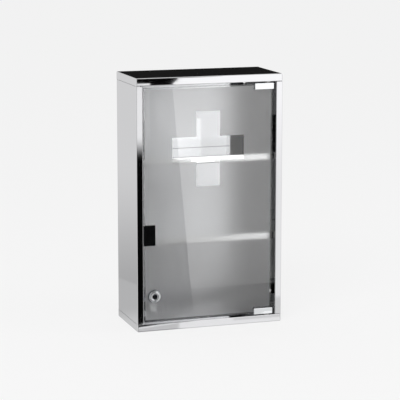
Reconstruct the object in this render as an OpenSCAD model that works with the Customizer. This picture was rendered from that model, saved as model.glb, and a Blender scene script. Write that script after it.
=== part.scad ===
// Wall cabinet for medicines: a polished sheet-steel box with two shelves and an inset, lockable glass
// door on pivot hinges. The origin is on the floor of the bounding box, under its centre. The front faces -Y.

/* [Cabinet shell] */
// Width of the cabinet
cabinet_w = 300; // [260:5:400]
// Depth of the sheet-metal box, without what stands proud of its front
cabinet_d = 140; // [110:5:200]
// Height of the cabinet
cabinet_h = 500; // [450:10:700]
// Thickness of the sheet
sheet_t = 1; // [0.8:0.1:1.2]
// Outside radius of the folds
bend_r = 2; // [1.6:0.1:3]
// Height of the folded edge of the top and bottom caps
cap_h = 15; // [11:0.5:18]
// Depth of the lip folded back from each cap's front edge
cap_lip_d = 15; // [15:0.5:18]
// Width of the front stiles
stile_w = 13; // [12:0.5:20]
// Depth of the lip folded back from each stile
jamb_lip_d = 13; // [10:0.5:15]
// How far the tongues behind the cap seams reach to each side of the seam
tongue_h = 8; // [6:0.5:9]

/* [Shelves] */
// Height of the upper shelf's top face
upper_shelf_top = 340; // [290:5:360]
// Height of the lower shelf's top face
lower_shelf_top = 180; // [150:5:200]
// Setback of the shelves from the cabinet's front
shelf_setback = 22; // [22:1:30]
// Height of the shelves' folded front edge
shelf_lip_h = 14; // [10:0.5:16]
// Depth of the hem under the front edge
shelf_hem_d = 8; // [5:0.5:10]
// Width and height of the angles that carry the shelves
ledge_w = 14; // [10:1:16]

/* [Wall holes] */
// Distance of the holes from the cabinet's sides
wall_hole_side = 30; // [25:1:60]
// Distance of the holes from the cabinet's top and bottom
wall_hole_end = 30; // [25:1:60]
// Diameter of each hole
wall_hole_d = 6.5; // [5:0.5:9]

/* [Door] */
// Thickness of the glass
glass_t = 4; // [4:0.5:5]
// How far the glass lies behind the cabinet's front
glass_recess = 1; // [0.5:0.1:1.5]
// Radius of the pane's corners
glass_corner_r = 2; // [1:0.5:4]
// Gap between the pane and the left stile
door_gap_left = 1.4; // [1.2:0.1:3]
// Gap between the pane and the right stile
door_gap_right = 7.5; // [7:0.5:10]
// Gap between each hinge clip and the cap beside it
door_gap_end = 2.5; // [2.5:0.1:4]

/* [Frosting] */
// Thickness of the frosting film on the rear of the glass
film_t = 0.15; // [0.1:0.05:0.25]
// Clear margin round the film
film_margin = 3; // [3:0.5:10]
// Gap between the film and the fittings that clamp the glass
film_gap = 0.5; // [0.3:0.1:1]
// Height of the middle of the clear cross
cross_h = 357.5; // [340:0.5:365]
// Width and height of the clear cross
cross_size = 148; // [100:1:160]
// Width of the cross's arms
cross_arm_w = 48.5; // [30:0.5:55]

/* [Hinges] */
// Width of a hinge clip
clip_w = 40; // [36:1:50]
// Height of a hinge clip
clip_h = 12.5; // [12:0.5:16]
// Thickness of the clip's plate in front of the glass
clip_front_t = 2; // [1.5:0.1:2.5]
// Thickness of the clip's jaw behind the glass, which holds the pivot pin
clip_jaw_t = 6; // [5.5:0.1:6]
// Thickness of the clip's wall beyond the edges of the glass
clip_wall_t = 1.5; // [1:0.1:2]
// Radius of the clip's corners
clip_corner_r = 1.5; // [1:0.5:3]
// Thickness of the liner between clip and glass
liner_t = 0.5; // [0.3:0.1:0.6]
// Distance of the pivot from the right edge of the glass
pivot_inset = 8; // [7:0.5:9]
// Diameter of the pivot pin
pin_d = 4; // [3:0.5:4]
// Length of the pivot pin held in the clip
pin_hold = 10; // [8:0.5:11]
// Length of the pivot pin past the cap's lip
pin_reach = 5; // [3:0.5:6]
// Wall of the bush round the pin
bush_wall_t = 1.5; // [1:0.1:1.5]
// Width of the bush's flange round its shank
bush_flange_w = 1.5; // [1:0.1:1.5]
// Running clearance between pin and bush, on the radius
pin_clear = 0.05; // [0.03:0.01:0.08]
// Clearance under the door's weight, over the lower bush
thrust_clear = 0.1; // [0.05:0.05:0.2]
// Clearance over the door, under the upper bush
lift_clear = 0.6; // [0.4:0.1:1]
// Diameter of the set screws
set_screw_d = 4; // [3:0.5:5]
// Width across the flats of the set screws' sockets
set_screw_socket = 2; // [1.5:0.1:2]
// Place of the first set screw, from the free end of the clip
set_screw_inset = 7; // [6:0.5:8]
// Distance between the set screws
set_screw_pitch = 11; // [8:0.5:12]

/* [Push plate] */
// Width of the push plate
plate_w = 23.5; // [20:0.5:26]
// Height of the push plate
plate_h = 40.5; // [30:0.5:50]
// Thickness of the plate in front of the glass
plate_t = 1.2; // [1:0.1:1.4]
// Thickness of the steel strike behind the glass
strike_t = 1; // [0.8:0.1:1.2]
// Thickness of the plate round the edge of the glass
plate_web_t = 0.6; // [0.4:0.1:0.8]
// Thickness of the tape on both faces of the glass
tape_t = 0.3; // [0.2:0.1:0.4]
// Number of raised grip ribs
rib_count = 3; // [1:1:5]
// Length of a rib
rib_w = 13; // [8:0.5:16]
// Height of a rib
rib_h = 1.6; // [1:0.1:2.4]
// Distance between the ribs
rib_pitch = 5; // [4:0.5:6]
// How far a rib stands out
rib_t = 0.3; // [0.2:0.1:0.5]

/* [Touch latch] */
// Height of the latch's axis over the lower shelf
latch_axis_h = 12; // [12:0.5:20]
// Setback of the latch housing from the cabinet's front
latch_setback = 10; // [9:0.5:12]
// Length of the latch housing
latch_len = 42; // [36:1:50]
// Width of the latch housing
latch_w = 18; // [17:0.5:22]
// Height of the latch housing over its axis
latch_rise = 9; // [8.5:0.5:11]
// Diameter of the chamber in the housing
latch_bore_d = 11.6; // [11:0.1:13]
// Thickness of the housing's front wall
latch_neck_t = 3; // [2:0.5:5]
// Thickness of the end cap
latch_end_t = 3; // [2:0.5:4]
// Diameter of the plunger
plunger_d = 9; // [8:0.5:9.5]
// Thickness of the plunger's collar
collar_t = 2.5; // [2:0.5:4]
// Diameter of the plunger's tail, inside the spring
tail_d = 5; // [4:0.5:5.5]
// Length of the tail
tail_len = 20; // [14:1:24]
// Diameter of the magnet
magnet_d = 6.4; // [5:0.2:7]
// Thickness of the magnet
magnet_t = 3; // [2:0.5:4]
// Gap between the magnet and the strike with the door shut
magnet_gap = 0.3; // [0.2:0.1:0.5]
// Sliding clearance of the plunger, on the radius
plunger_clear = 0.1; // [0.05:0.01:0.1]
// Travel of the plunger when the door is pressed
press_travel = 3; // [2:0.5:4]
// Diameter of the spring's wire
spring_wire_d = 0.8; // [0.6:0.1:1]
// Mean diameter of the spring
spring_d = 8.2; // [7.6:0.2:9]
// Turns of the spring
spring_turns = 7; // [4:1:10]
// Width of the foot beside the housing
foot_w = 12; // [10:0.5:14]
// Length of the foot
foot_len = 24; // [18:1:28]
// Thickness of the foot
foot_t = 3; // [2:0.5:4]
// Distance between the two screws
foot_screw_pitch = 13; // [10:1:16]
// Diameter of the screws
foot_screw_d = 3; // [2.5:0.5:4]
// Length of the screws under the foot
foot_screw_len = 5; // [4:0.5:8]

/* [Lock] */
// Distance of the lock's axis from the left edge of the glass
lock_inset = 21.3; // [20:0.1:26]
// Height of the lock's axis
lock_h = 69.5; // [60:0.5:80]
// Diameter of the bezel
bezel_d = 24; // [23:0.5:28]
// Thickness of the bezel
bezel_t = 1.5; // [1:0.1:1.5]
// Diameter of the raised ring on the bezel
ring_d = 19.5; // [16:0.5:21]
// How far the ring stands out of the bezel
ring_t = 0.5; // [0.2:0.1:0.5]
// Diameter of the lock's barrel
barrel_d = 19; // [17:0.5:20]
// Gap between the turned cam and the rear edge of the jamb lip
lip_clear = 1.2; // [0.5:0.1:2]
// Diameter of the plug's head
plug_d = 12; // [10:0.5:13]
// Length of the plug's head
plug_head_len = 8; // [6:0.5:9]
// Diameter of the plug behind its head
plug_tail_d = 10; // [9:0.5:10]
// Clearance round the barrel in the glass, on the radius
barrel_clear = 0.3; // [0.2:0.1:0.5]
// Running clearance round the plug, on the radius
plug_clear = 0.05; // [0.03:0.01:0.08]
// Thickness of the gasket under the bezel
gasket_t = 0.5; // [0.3:0.1:0.6]
// How far the gasket stays inside the edge of the bezel
gasket_inset = 0.5; // [0.2:0.1:0.8]
// Thickness of the washer behind the glass
washer_t = 0.8; // [0.5:0.1:1]
// Width of the washer, round the barrel
washer_w = 3.5; // [3:0.5:5]
// Width across the flats of the nut
nut_af = 24; // [22:0.5:26]
// Thickness of the nut
nut_t = 4; // [3:0.5:5]
// Height of the keyway
keyway_h = 7; // [5:0.5:8]
// Width of the keyway
keyway_w = 1.6; // [1.2:0.1:2]
// Depth of the keyway
keyway_len = 10; // [8:0.5:11]
// Width of the cam
cam_w = 14; // [12:0.5:16]
// Thickness of the cam
cam_t = 2; // [1.5:0.1:2.5]
// Gap between the cam's tip and the side wall when it is locked
cam_clear = 1.7; // [1:0.1:3]
// Gap between barrel and cam
cam_gap = 0.2; // [0.1:0.1:0.4]
// Side of the square that drives the cam
cam_square = 6; // [5:0.5:6.5]
// Diameter of the cam screw
cam_screw_d = 3; // [2.5:0.5:3.5]
// Diameter of the cam screw's head
cam_screw_head_d = 9; // [8:0.5:10]
// Length of the cam screw in the plug
cam_screw_len = 3.5; // [2:0.5:4]

/* [Hidden] */

// Clearance between pieces that are fixed to each other
fixed_clear = 0.05;
// Clearance round the shelves
shelf_clear = 0.5;
// A cut runs this much past the face that it opens
past = 1;
$fn = 48;

// Outer planes of the box. What stands furthest out of its front sets where the front lies.
door_front_t = max(liner_t + clip_front_t, tape_t + plate_t + rib_t, gasket_t + bezel_t + ring_t);
proud = door_front_t - glass_recess;
half_w = cabinet_w / 2;
front_y = -(cabinet_d - proud) / 2;
back_y = front_y + cabinet_d;
seam_top = cabinet_h - cap_h;

// Faces of the pane
glass_x0 = -half_w + stile_w + door_gap_left;
glass_x1 = half_w - stile_w - door_gap_right;
glass_y0 = front_y + glass_recess;
glass_y1 = glass_y0 + glass_t;
edge_cover = liner_t + clip_wall_t;
door_z0 = cap_h + door_gap_end;
door_z1 = seam_top - door_gap_end;
glass_z0 = door_z0 + edge_cover;
glass_z1 = door_z1 - edge_cover;

// Hinge clips and their pivot
clip_x1 = glass_x1 + edge_cover;
clip_x0 = clip_x1 - clip_w;
clip_y0 = glass_y0 - liner_t - clip_front_t;
clip_y1 = glass_y1 + liner_t + clip_jaw_t;
pivot_x = glass_x1 - pivot_inset;
pivot_y = clip_y1 - clip_jaw_t / 2;
bush_r = pin_d / 2 + pin_clear + bush_wall_t;
set_screw_xs = [for (i = [0, 1]) clip_x0 + set_screw_inset + i * set_screw_pitch];
set_screw_z = door_z1 - clip_h / 2;

// Shelves
shelf_x = half_w - sheet_t - shelf_clear;
shelf_y0 = front_y + shelf_setback;
shelf_y1 = back_y - 2 * sheet_t - shelf_clear;

// Push plate and touch latch
plate_x0 = glass_x0 - plate_web_t;
latch_x = plate_x0 + plate_w / 2;
latch_z = lower_shelf_top + latch_axis_h;
strike_y1 = glass_y1 + tape_t + strike_t;
latch_y0 = front_y + latch_setback;
latch_y1 = latch_y0 + latch_len;
tip_y = strike_y1 + magnet_gap;
collar_y = latch_y0 + latch_neck_t + magnet_gap;
foot_y0 = shelf_y0 + bend_r;
foot_x0 = latch_x + latch_w / 2;
foot_screw_x = foot_x0 + foot_w / 2;
foot_screw_ys = [for (s = [-1, 1]) foot_y0 + foot_len / 2 + s * foot_screw_pitch / 2];

// Lock
lock_x = glass_x0 + lock_inset;
cam_y0 = front_y + jamb_lip_d + lip_clear;
barrel_y1 = cam_y0 - cam_gap;
cam_reach = lock_x + half_w - sheet_t - cam_clear;

steel = "#d5d8da";
bright = "#eef0f2";

// ---------------------------------------------------------------- outlines

// Rectangle with rounded corners, from its edges
module round_rect(a0, a1, b0, b1, r) {
    translate([a0 + r, b0]) square([a1 - a0 - 2 * r, b1 - b0]);
    translate([a0, b0 + r]) square([a1 - a0, b1 - b0 - 2 * r]);
    for (a = [a0 + r, a1 - r], b = [b0 + r, b1 - r])
        translate([a, b]) circle(r = r);
}

// Turns an outline of X and Z into a solid between two planes of Y
module along_y(y0, y1) {
    translate([0, y1, 0]) rotate([90, 0, 0]) linear_extrude(height = y1 - y0) children();
}

// Turns an outline of Y and Z into a solid between two planes of X
module along_x(x0, x1) {
    translate([x0, 0, 0]) rotate([90, 0, 90]) linear_extrude(height = x1 - x0) children();
}

// Box from its corners
module block(low, high) {
    translate(low) cube(high - low);
}

// Round bar along Y
module bar_y(x, z, y0, y1, r) {
    along_y(y0, y1) translate([x, z]) circle(r = r);
}

// ---------------------------------------------------------------- shell

// Solid with the cap's rounded outside, drawn in by inset on every side but the open one
module cap_solid(inset) {
    r = bend_r - inset;
    intersection() {
        translate([0, 0, inset]) linear_extrude(height = cap_h)
            round_rect(-half_w + inset, half_w - inset, front_y + inset, back_y - inset, r);
        along_x(-half_w, half_w)
            round_rect(front_y + inset, back_y - inset, inset, 3 * cap_h, r);
        along_y(front_y, back_y)
            round_rect(-half_w + inset, half_w - inset, inset, 3 * cap_h, r);
    }
}

// Tray with a lip folded back from its front edge, drawn as the bottom cap
module cap() {
    difference() {
        union() {
            difference() {
                cap_solid(0);
                cap_solid(sheet_t);
                block([-cabinet_w, front_y - past, cap_h], [cabinet_w, back_y + past, 2 * cap_h]);
            }
            block([-half_w + sheet_t, front_y + sheet_t / 2, cap_h - sheet_t],
                  [half_w - sheet_t, front_y + cap_lip_d, cap_h]);
        }
        translate([pivot_x, pivot_y, cap_h - sheet_t - past])
            cylinder(r = bush_r + fixed_clear, h = sheet_t + 2 * past);
    }
}

module top_cap() {
    color(steel) translate([0, 0, cabinet_h]) mirror([0, 0, 1]) cap();
}

module bottom_cap() {
    color(steel) cap();
}

// Side wall with its stile, jamb lip, rear flange, and tongues behind the cap seams, drawn as the left one
module side_panel() {
    lip_x = -half_w + stile_w;
    rear_y = back_y - sheet_t;
    translate([0, 0, cap_h]) linear_extrude(height = seam_top - cap_h) difference() {
        round_rect(-half_w, lip_x, front_y, rear_y, bend_r);
        round_rect(-half_w + sheet_t, lip_x - sheet_t, front_y + sheet_t, rear_y - sheet_t, bend_r - sheet_t);
        translate([lip_x - bend_r, front_y + jamb_lip_d]) square([bend_r + past, cabinet_d]);
    }
    for (seam = [cap_h, seam_top])
        block([-half_w + sheet_t, front_y + cap_lip_d + sheet_t, seam - tongue_h],
              [-half_w + 2 * sheet_t, rear_y - stile_w, seam + tongue_h]);
}

module left_side_panel() {
    color(steel) side_panel();
}

module right_side_panel() {
    color(steel) mirror([1, 0, 0]) side_panel();
}

// Flat sheet over the rear flanges, with tongues behind the cap seams and four wall holes
module back_panel() {
    color(steel) difference() {
        union() {
            block([-half_w + bend_r, back_y - sheet_t, cap_h], [half_w - bend_r, back_y, seam_top]);
            for (seam = [cap_h, seam_top])
                block([-half_w + stile_w, back_y - 2 * sheet_t, seam - tongue_h],
                      [half_w - stile_w, back_y - sheet_t, seam + tongue_h]);
        }
        for (x = [-1, 1], z = [wall_hole_end, cabinet_h - wall_hole_end])
            bar_y(x * (half_w - wall_hole_side), z,
                  back_y - 2 * sheet_t - past, back_y + past, wall_hole_d / 2);
    }
}

// ---------------------------------------------------------------- shelves

// Folded shelf: front edge with a hem under it, flat top, and a flange at the rear
module shelf(top) {
    z0 = top - shelf_lip_h;
    along_x(-shelf_x, shelf_x) difference() {
        round_rect(shelf_y0, shelf_y1, z0, top, bend_r);
        round_rect(shelf_y0 + sheet_t, shelf_y1 - sheet_t, z0 + sheet_t, top - sheet_t, bend_r - sheet_t);
        translate([shelf_y0 + shelf_hem_d, z0 - past]) square([cabinet_d, bend_r + past]);
    }
}

module upper_shelf() {
    color(steel) shelf(upper_shelf_top);
}

module lower_shelf() {
    color(steel) difference() {
        shelf(lower_shelf_top);
        for (y = foot_screw_ys)
            translate([foot_screw_x, y, lower_shelf_top - sheet_t - past])
                cylinder(d = foot_screw_d + 2 * fixed_clear, h = sheet_t + 2 * past);
    }
}

// Angle under one end of a shelf, drawn on the left wall
module ledge(top) {
    wall_x = -half_w + sheet_t;
    under = top - sheet_t;
    y0 = shelf_y0 + shelf_hem_d + past;
    y1 = shelf_y1 - bend_r - past;
    block([wall_x, y0, under - ledge_w], [wall_x + sheet_t, y1, under]);
    block([wall_x, y0, under - sheet_t], [wall_x + ledge_w, y1, under]);
}

module upper_left_ledge() {
    color(steel) ledge(upper_shelf_top);
}

module upper_right_ledge() {
    color(steel) mirror([1, 0, 0]) ledge(upper_shelf_top);
}

module lower_left_ledge() {
    color(steel) ledge(lower_shelf_top);
}

module lower_right_ledge() {
    color(steel) mirror([1, 0, 0]) ledge(lower_shelf_top);
}

// ---------------------------------------------------------------- hinges

// Flanged bush in a cap's lip, drawn with the lip's door side at height 0 and the door below it
module bush(flange_t) {
    translate([pivot_x, pivot_y, 0]) difference() {
        union() {
            translate([0, 0, -flange_t]) cylinder(r = bush_r + bush_flange_w, h = flange_t);
            translate([0, 0, -flange_t]) cylinder(r = bush_r, h = flange_t + pin_reach + sheet_t);
        }
        translate([0, 0, -flange_t - past])
            cylinder(r = pin_d / 2 + pin_clear, h = flange_t + pin_reach + sheet_t + 2 * past);
    }
}

module upper_hinge_bush() {
    color("whitesmoke") translate([0, 0, seam_top]) bush(door_gap_end - lift_clear);
}

module lower_hinge_bush() {
    color("whitesmoke") translate([0, 0, cap_h]) mirror([0, 0, 1]) bush(door_gap_end - thrust_clear);
}

// Slot of the clip that takes the glass in its liner, drawn as the upper clip's
module clip_slot(start_x) {
    block([start_x, glass_y0 - liner_t, door_z1 - 2 * clip_h],
          [glass_x1 + liner_t, glass_y1 + liner_t, glass_z1 + liner_t]);
}

// Clamp on a corner of the pane, drawn as the upper one
module clip() {
    difference() {
        along_y(clip_y0, clip_y1) round_rect(clip_x0, clip_x1, door_z1 - clip_h, door_z1, clip_corner_r);
        clip_slot(clip_x0 - past);
        translate([pivot_x, pivot_y, door_z1 - pin_hold])
            cylinder(d = pin_d, h = pin_hold + past);
        for (x = set_screw_xs)
            bar_y(x, set_screw_z, glass_y1, clip_y1 + past, set_screw_d / 2 + fixed_clear);
    }
}

// Thin cup between clip and glass
module clip_liner() {
    difference() {
        intersection() {
            clip_slot(clip_x0);
            block([clip_x0, clip_y0, door_z1 - clip_h], [clip_x1, clip_y1, door_z1]);
        }
        block([clip_x0 - past, glass_y0, door_z1 - clip_h - past], [glass_x1, glass_y1, glass_z1]);
    }
}

// Two set screws that press the liner onto the glass
module clip_screws() {
    for (x = set_screw_xs)
        difference() {
            bar_y(x, set_screw_z, glass_y1 + liner_t, clip_y1 - liner_t, set_screw_d / 2);
            along_y(clip_y1 - clip_jaw_t / 2, clip_y1 + past)
                translate([x, set_screw_z]) circle(d = set_screw_socket / cos(30), $fn = 6);
        }
}

// Pin pressed into the clip's jaw
module pivot_pin() {
    translate([pivot_x, pivot_y, door_z1 - pin_hold])
        cylinder(d = pin_d, h = pin_hold + door_gap_end + pin_reach);
}

// Turns what is drawn as the upper hinge into the lower one
module as_lower() {
    translate([0, 0, cabinet_h]) mirror([0, 0, 1]) children();
}

module upper_hinge_clip() {
    color(bright) clip();
}

module lower_hinge_clip() {
    color(bright) as_lower() clip();
}

module upper_clip_liner() {
    color("dimgray") clip_liner();
}

module lower_clip_liner() {
    color("dimgray") as_lower() clip_liner();
}

module upper_clip_screws() {
    color("gray") clip_screws();
}

module lower_clip_screws() {
    color("gray") as_lower() clip_screws();
}

module upper_pivot_pin() {
    color("silver") pivot_pin();
}

module lower_pivot_pin() {
    color("silver") as_lower() pivot_pin();
}

// ---------------------------------------------------------------- door

module door_glass() {
    color("#b9c0c3", 0.6) difference() {
        along_y(glass_y0, glass_y1)
            round_rect(glass_x0, glass_x1, glass_z0, glass_z1, glass_corner_r);
        bar_y(lock_x, lock_h, glass_y0 - past, glass_y1 + past, barrel_d / 2 + barrel_clear);
    }
}

// Film with a clear cross, cut round the clips, the push plate and the lock's washer
module frosting_film() {
    mid_x = (glass_x0 + glass_x1) / 2;
    long = cross_size / 2;
    short = cross_arm_w / 2;
    clip_edge_x = clip_x0 - film_gap;
    plate_edge_x = plate_x0 + plate_w + film_gap;
    color("#8f9698") along_y(glass_y1, glass_y1 + film_t) difference() {
        translate([glass_x0 + film_margin, glass_z0 + film_margin])
            square([glass_x1 - glass_x0 - 2 * film_margin, glass_z1 - glass_z0 - 2 * film_margin]);
        translate([mid_x - long, cross_h - short]) square([2 * long, 2 * short]);
        translate([mid_x - short, cross_h - long]) square([2 * short, 2 * long]);
        for (z = [glass_z0, door_z1 - clip_h - film_gap])
            translate([clip_edge_x, z]) square([clip_w, clip_h + film_gap]);
        translate([glass_x0, latch_z - plate_h / 2 - film_gap])
            square([plate_edge_x - glass_x0, plate_h + 2 * film_gap]);
        translate([lock_x, lock_h]) circle(r = barrel_d / 2 + washer_w + film_gap);
    }
}

// Clip over the free edge: plate with grip ribs in front, steel strike behind
module push_plate() {
    x1 = plate_x0 + plate_w;
    z0 = latch_z - plate_h / 2;
    z1 = latch_z + plate_h / 2;
    front = glass_y0 - tape_t - plate_t;
    color("#141414") {
        difference() {
            block([plate_x0, front, z0], [x1, strike_y1, z1]);
            block([glass_x0, glass_y0 - tape_t, z0 - past], [x1 + past, glass_y1 + tape_t, z1 + past]);
        }
        for (i = [0 : rib_count - 1]) {
            z = latch_z + (i - (rib_count - 1) / 2) * rib_pitch;
            block([latch_x - rib_w / 2, front - rib_t, z - rib_h / 2],
                  [latch_x + rib_w / 2, front + plate_t / 2, z + rib_h / 2]);
        }
    }
}

module push_plate_tape() {
    x1 = plate_x0 + plate_w;
    color("white") for (y = [glass_y0 - tape_t, glass_y1])
        block([glass_x0, y, latch_z - plate_h / 2], [x1, y + tape_t, latch_z + plate_h / 2]);
}

// ---------------------------------------------------------------- touch latch

// Block with a bore for the plunger, a wider chamber behind it, and a foot on the lower shelf
module latch_housing() {
    color("gainsboro") difference() {
        union() {
            block([latch_x - latch_w / 2, latch_y0, lower_shelf_top],
                  [latch_x + latch_w / 2, latch_y1, latch_z + latch_rise]);
            block([latch_x, foot_y0, lower_shelf_top],
                  [foot_x0 + foot_w, foot_y0 + foot_len, lower_shelf_top + foot_t]);
        }
        bar_y(latch_x, latch_z, latch_y0 - past, latch_y1, plunger_d / 2 + plunger_clear);
        bar_y(latch_x, latch_z, latch_y0 + latch_neck_t, latch_y1 + past, latch_bore_d / 2);
        for (y = foot_screw_ys)
            translate([foot_screw_x, y, lower_shelf_top - past])
                cylinder(d = foot_screw_d + 2 * fixed_clear, h = foot_t + 2 * past);
    }
}

module latch_end_cap() {
    color("gainsboro")
        bar_y(latch_x, latch_z, latch_y1 - latch_end_t, latch_y1, latch_bore_d / 2 - fixed_clear);
}

module latch_screws() {
    top = lower_shelf_top + foot_t;
    color("silver") for (y = foot_screw_ys)
        translate([foot_screw_x, y, 0]) {
            translate([0, 0, lower_shelf_top - foot_screw_len])
                cylinder(d = foot_screw_d, h = foot_screw_len + foot_t);
            translate([0, 0, top]) cylinder(d = 2 * foot_screw_d, h = foot_screw_d / 2);
        }
}

// Magnet pocket, rod, collar and the tail that guides the spring
module latch_plunger() {
    collar_end = collar_y + collar_t;
    color("dimgray") difference() {
        union() {
            bar_y(latch_x, latch_z, tip_y, collar_end, plunger_d / 2);
            bar_y(latch_x, latch_z, collar_y, collar_end, latch_bore_d / 2 - plunger_clear);
            bar_y(latch_x, latch_z, collar_end, collar_end + tail_len, tail_d / 2);
        }
        bar_y(latch_x, latch_z, tip_y - past, tip_y + magnet_t, magnet_d / 2 + fixed_clear);
    }
}

module latch_magnet() {
    color("#5a5d60") bar_y(latch_x, latch_z, tip_y, tip_y + magnet_t, magnet_d / 2);
}

// Compression spring between collar and end cap, as one tube of six sides along a helix
module latch_spring() {
    steps = spring_turns * 12;
    sides = 6;
    wire_r = spring_wire_d / 2;
    y0 = collar_y + collar_t + spring_wire_d;
    y1 = latch_y1 - latch_end_t - spring_wire_d;
    points = [
        for (i = [0 : steps], s = [0 : sides - 1])
            let (turn = i * 30, side = s * 360 / sides, r = spring_d / 2 + wire_r * cos(side))
                [latch_x + r * cos(turn),
                 y0 + (y1 - y0) * i / steps + wire_r * sin(side),
                 latch_z + r * sin(turn)]
    ];
    walls = [
        for (i = [0 : steps - 1], s = [0 : sides - 1])
            let (a = i * sides + s, b = i * sides + (s + 1) % sides)
                each [[a, b, a + sides], [b, b + sides, a + sides]]
    ];
    caps = [
        for (s = [1 : sides - 2])
            each [[0, s + 1, s], [steps * sides, steps * sides + s, steps * sides + s + 1]]
    ];
    color("silver") polyhedron(points = points, faces = concat(walls, caps));
}

// ---------------------------------------------------------------- lock

module lock_housing() {
    bezel_y = glass_y0 - gasket_t - bezel_t;
    face_y = bezel_y - ring_t;
    color(bright) difference() {
        union() {
            bar_y(lock_x, lock_h, face_y, bezel_y + bezel_t, ring_d / 2);
            bar_y(lock_x, lock_h, bezel_y, bezel_y + bezel_t, bezel_d / 2);
            bar_y(lock_x, lock_h, bezel_y, barrel_y1, barrel_d / 2);
        }
        bar_y(lock_x, lock_h, face_y - past, face_y + plug_head_len, plug_d / 2 + plug_clear);
        bar_y(lock_x, lock_h, face_y, barrel_y1 + past, plug_tail_d / 2 + plug_clear);
    }
}

// Flat ring round the barrel
module barrel_ring(y0, y1, outer_d) {
    difference() {
        bar_y(lock_x, lock_h, y0, y1, outer_d / 2);
        bar_y(lock_x, lock_h, y0 - past, y1 + past, barrel_d / 2 + fixed_clear);
    }
}

module lock_gasket() {
    color("#202020") barrel_ring(glass_y0 - gasket_t, glass_y0, bezel_d - 2 * gasket_inset);
}

module lock_washer() {
    color("silver") barrel_ring(glass_y1, glass_y1 + washer_t, barrel_d + 2 * washer_w);
}

module lock_nut() {
    y0 = glass_y1 + washer_t;
    color("silver") difference() {
        along_y(y0, y0 + nut_t) translate([lock_x, lock_h]) circle(d = nut_af / cos(30), $fn = 6);
        bar_y(lock_x, lock_h, y0 - past, y0 + nut_t + past, barrel_d / 2 + fixed_clear);
    }
}

// Plug with its keyway, a shoulder behind its head, and a square that drives the cam
module lock_plug() {
    face_y = glass_y0 - gasket_t - bezel_t;
    head_y = glass_y0 - gasket_t - bezel_t - ring_t + plug_head_len - cam_gap;
    square_half = cam_square / 2;
    color("silver") difference() {
        union() {
            bar_y(lock_x, lock_h, face_y, head_y, plug_d / 2);
            bar_y(lock_x, lock_h, face_y, cam_y0, plug_tail_d / 2);
            block([lock_x - square_half, barrel_y1, lock_h - square_half],
                  [lock_x + square_half, cam_y0 + cam_t, lock_h + square_half]);
        }
        block([lock_x - keyway_w / 2, face_y - past, lock_h - keyway_h / 2],
              [lock_x + keyway_w / 2, face_y + keyway_len, lock_h + keyway_h / 2]);
        bar_y(lock_x, lock_h, cam_y0 + cam_t - cam_screw_len, cam_y0 + cam_t + past,
              cam_screw_d / 2 + fixed_clear);
    }
}

// Cam that hangs down unlocked and turns behind the left jamb lip to lock
module lock_cam() {
    tip_z = lock_h - cam_reach + cam_w / 2;
    square_half = cam_square / 2 + fixed_clear;
    color("silver") difference() {
        union() {
            bar_y(lock_x, lock_h, cam_y0, cam_y0 + cam_t, cam_w / 2);
            bar_y(lock_x, tip_z, cam_y0, cam_y0 + cam_t, cam_w / 2);
            block([lock_x - cam_w / 2, cam_y0, tip_z], [lock_x + cam_w / 2, cam_y0 + cam_t, lock_h]);
        }
        block([lock_x - square_half, cam_y0 - past, lock_h - square_half],
              [lock_x + square_half, cam_y0 + cam_t + past, lock_h + square_half]);
    }
}

module cam_screw() {
    y0 = cam_y0 + cam_t;
    color("gray") {
        bar_y(lock_x, lock_h, y0 - cam_screw_len, y0 + cam_screw_d / 2, cam_screw_d / 2);
        bar_y(lock_x, lock_h, y0, y0 + cam_screw_d / 2, cam_screw_head_d / 2);
    }
}

top_cap();
bottom_cap();
left_side_panel();
right_side_panel();
back_panel();
upper_shelf();
lower_shelf();
upper_left_ledge();
upper_right_ledge();
lower_left_ledge();
lower_right_ledge();
upper_hinge_bush();
lower_hinge_bush();
latch_housing();
latch_end_cap();
latch_spring();
latch_screws();
latch_plunger();
latch_magnet();
door_glass();
frosting_film();
upper_hinge_clip();
lower_hinge_clip();
upper_clip_liner();
lower_clip_liner();
upper_clip_screws();
lower_clip_screws();
upper_pivot_pin();
lower_pivot_pin();
push_plate();
push_plate_tape();
lock_housing();
lock_gasket();
lock_washer();
lock_nut();
lock_plug();
lock_cam();
cam_screw();
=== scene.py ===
"""Looks of a wall cabinet for medicines: polished sheet steel, a frosted glass door and a cam lock."""

import math

import bmesh
import bpy
from bpy.props import FloatProperty, FloatVectorProperty, IntProperty, PointerProperty
from mathutils import Matrix, Vector


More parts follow.
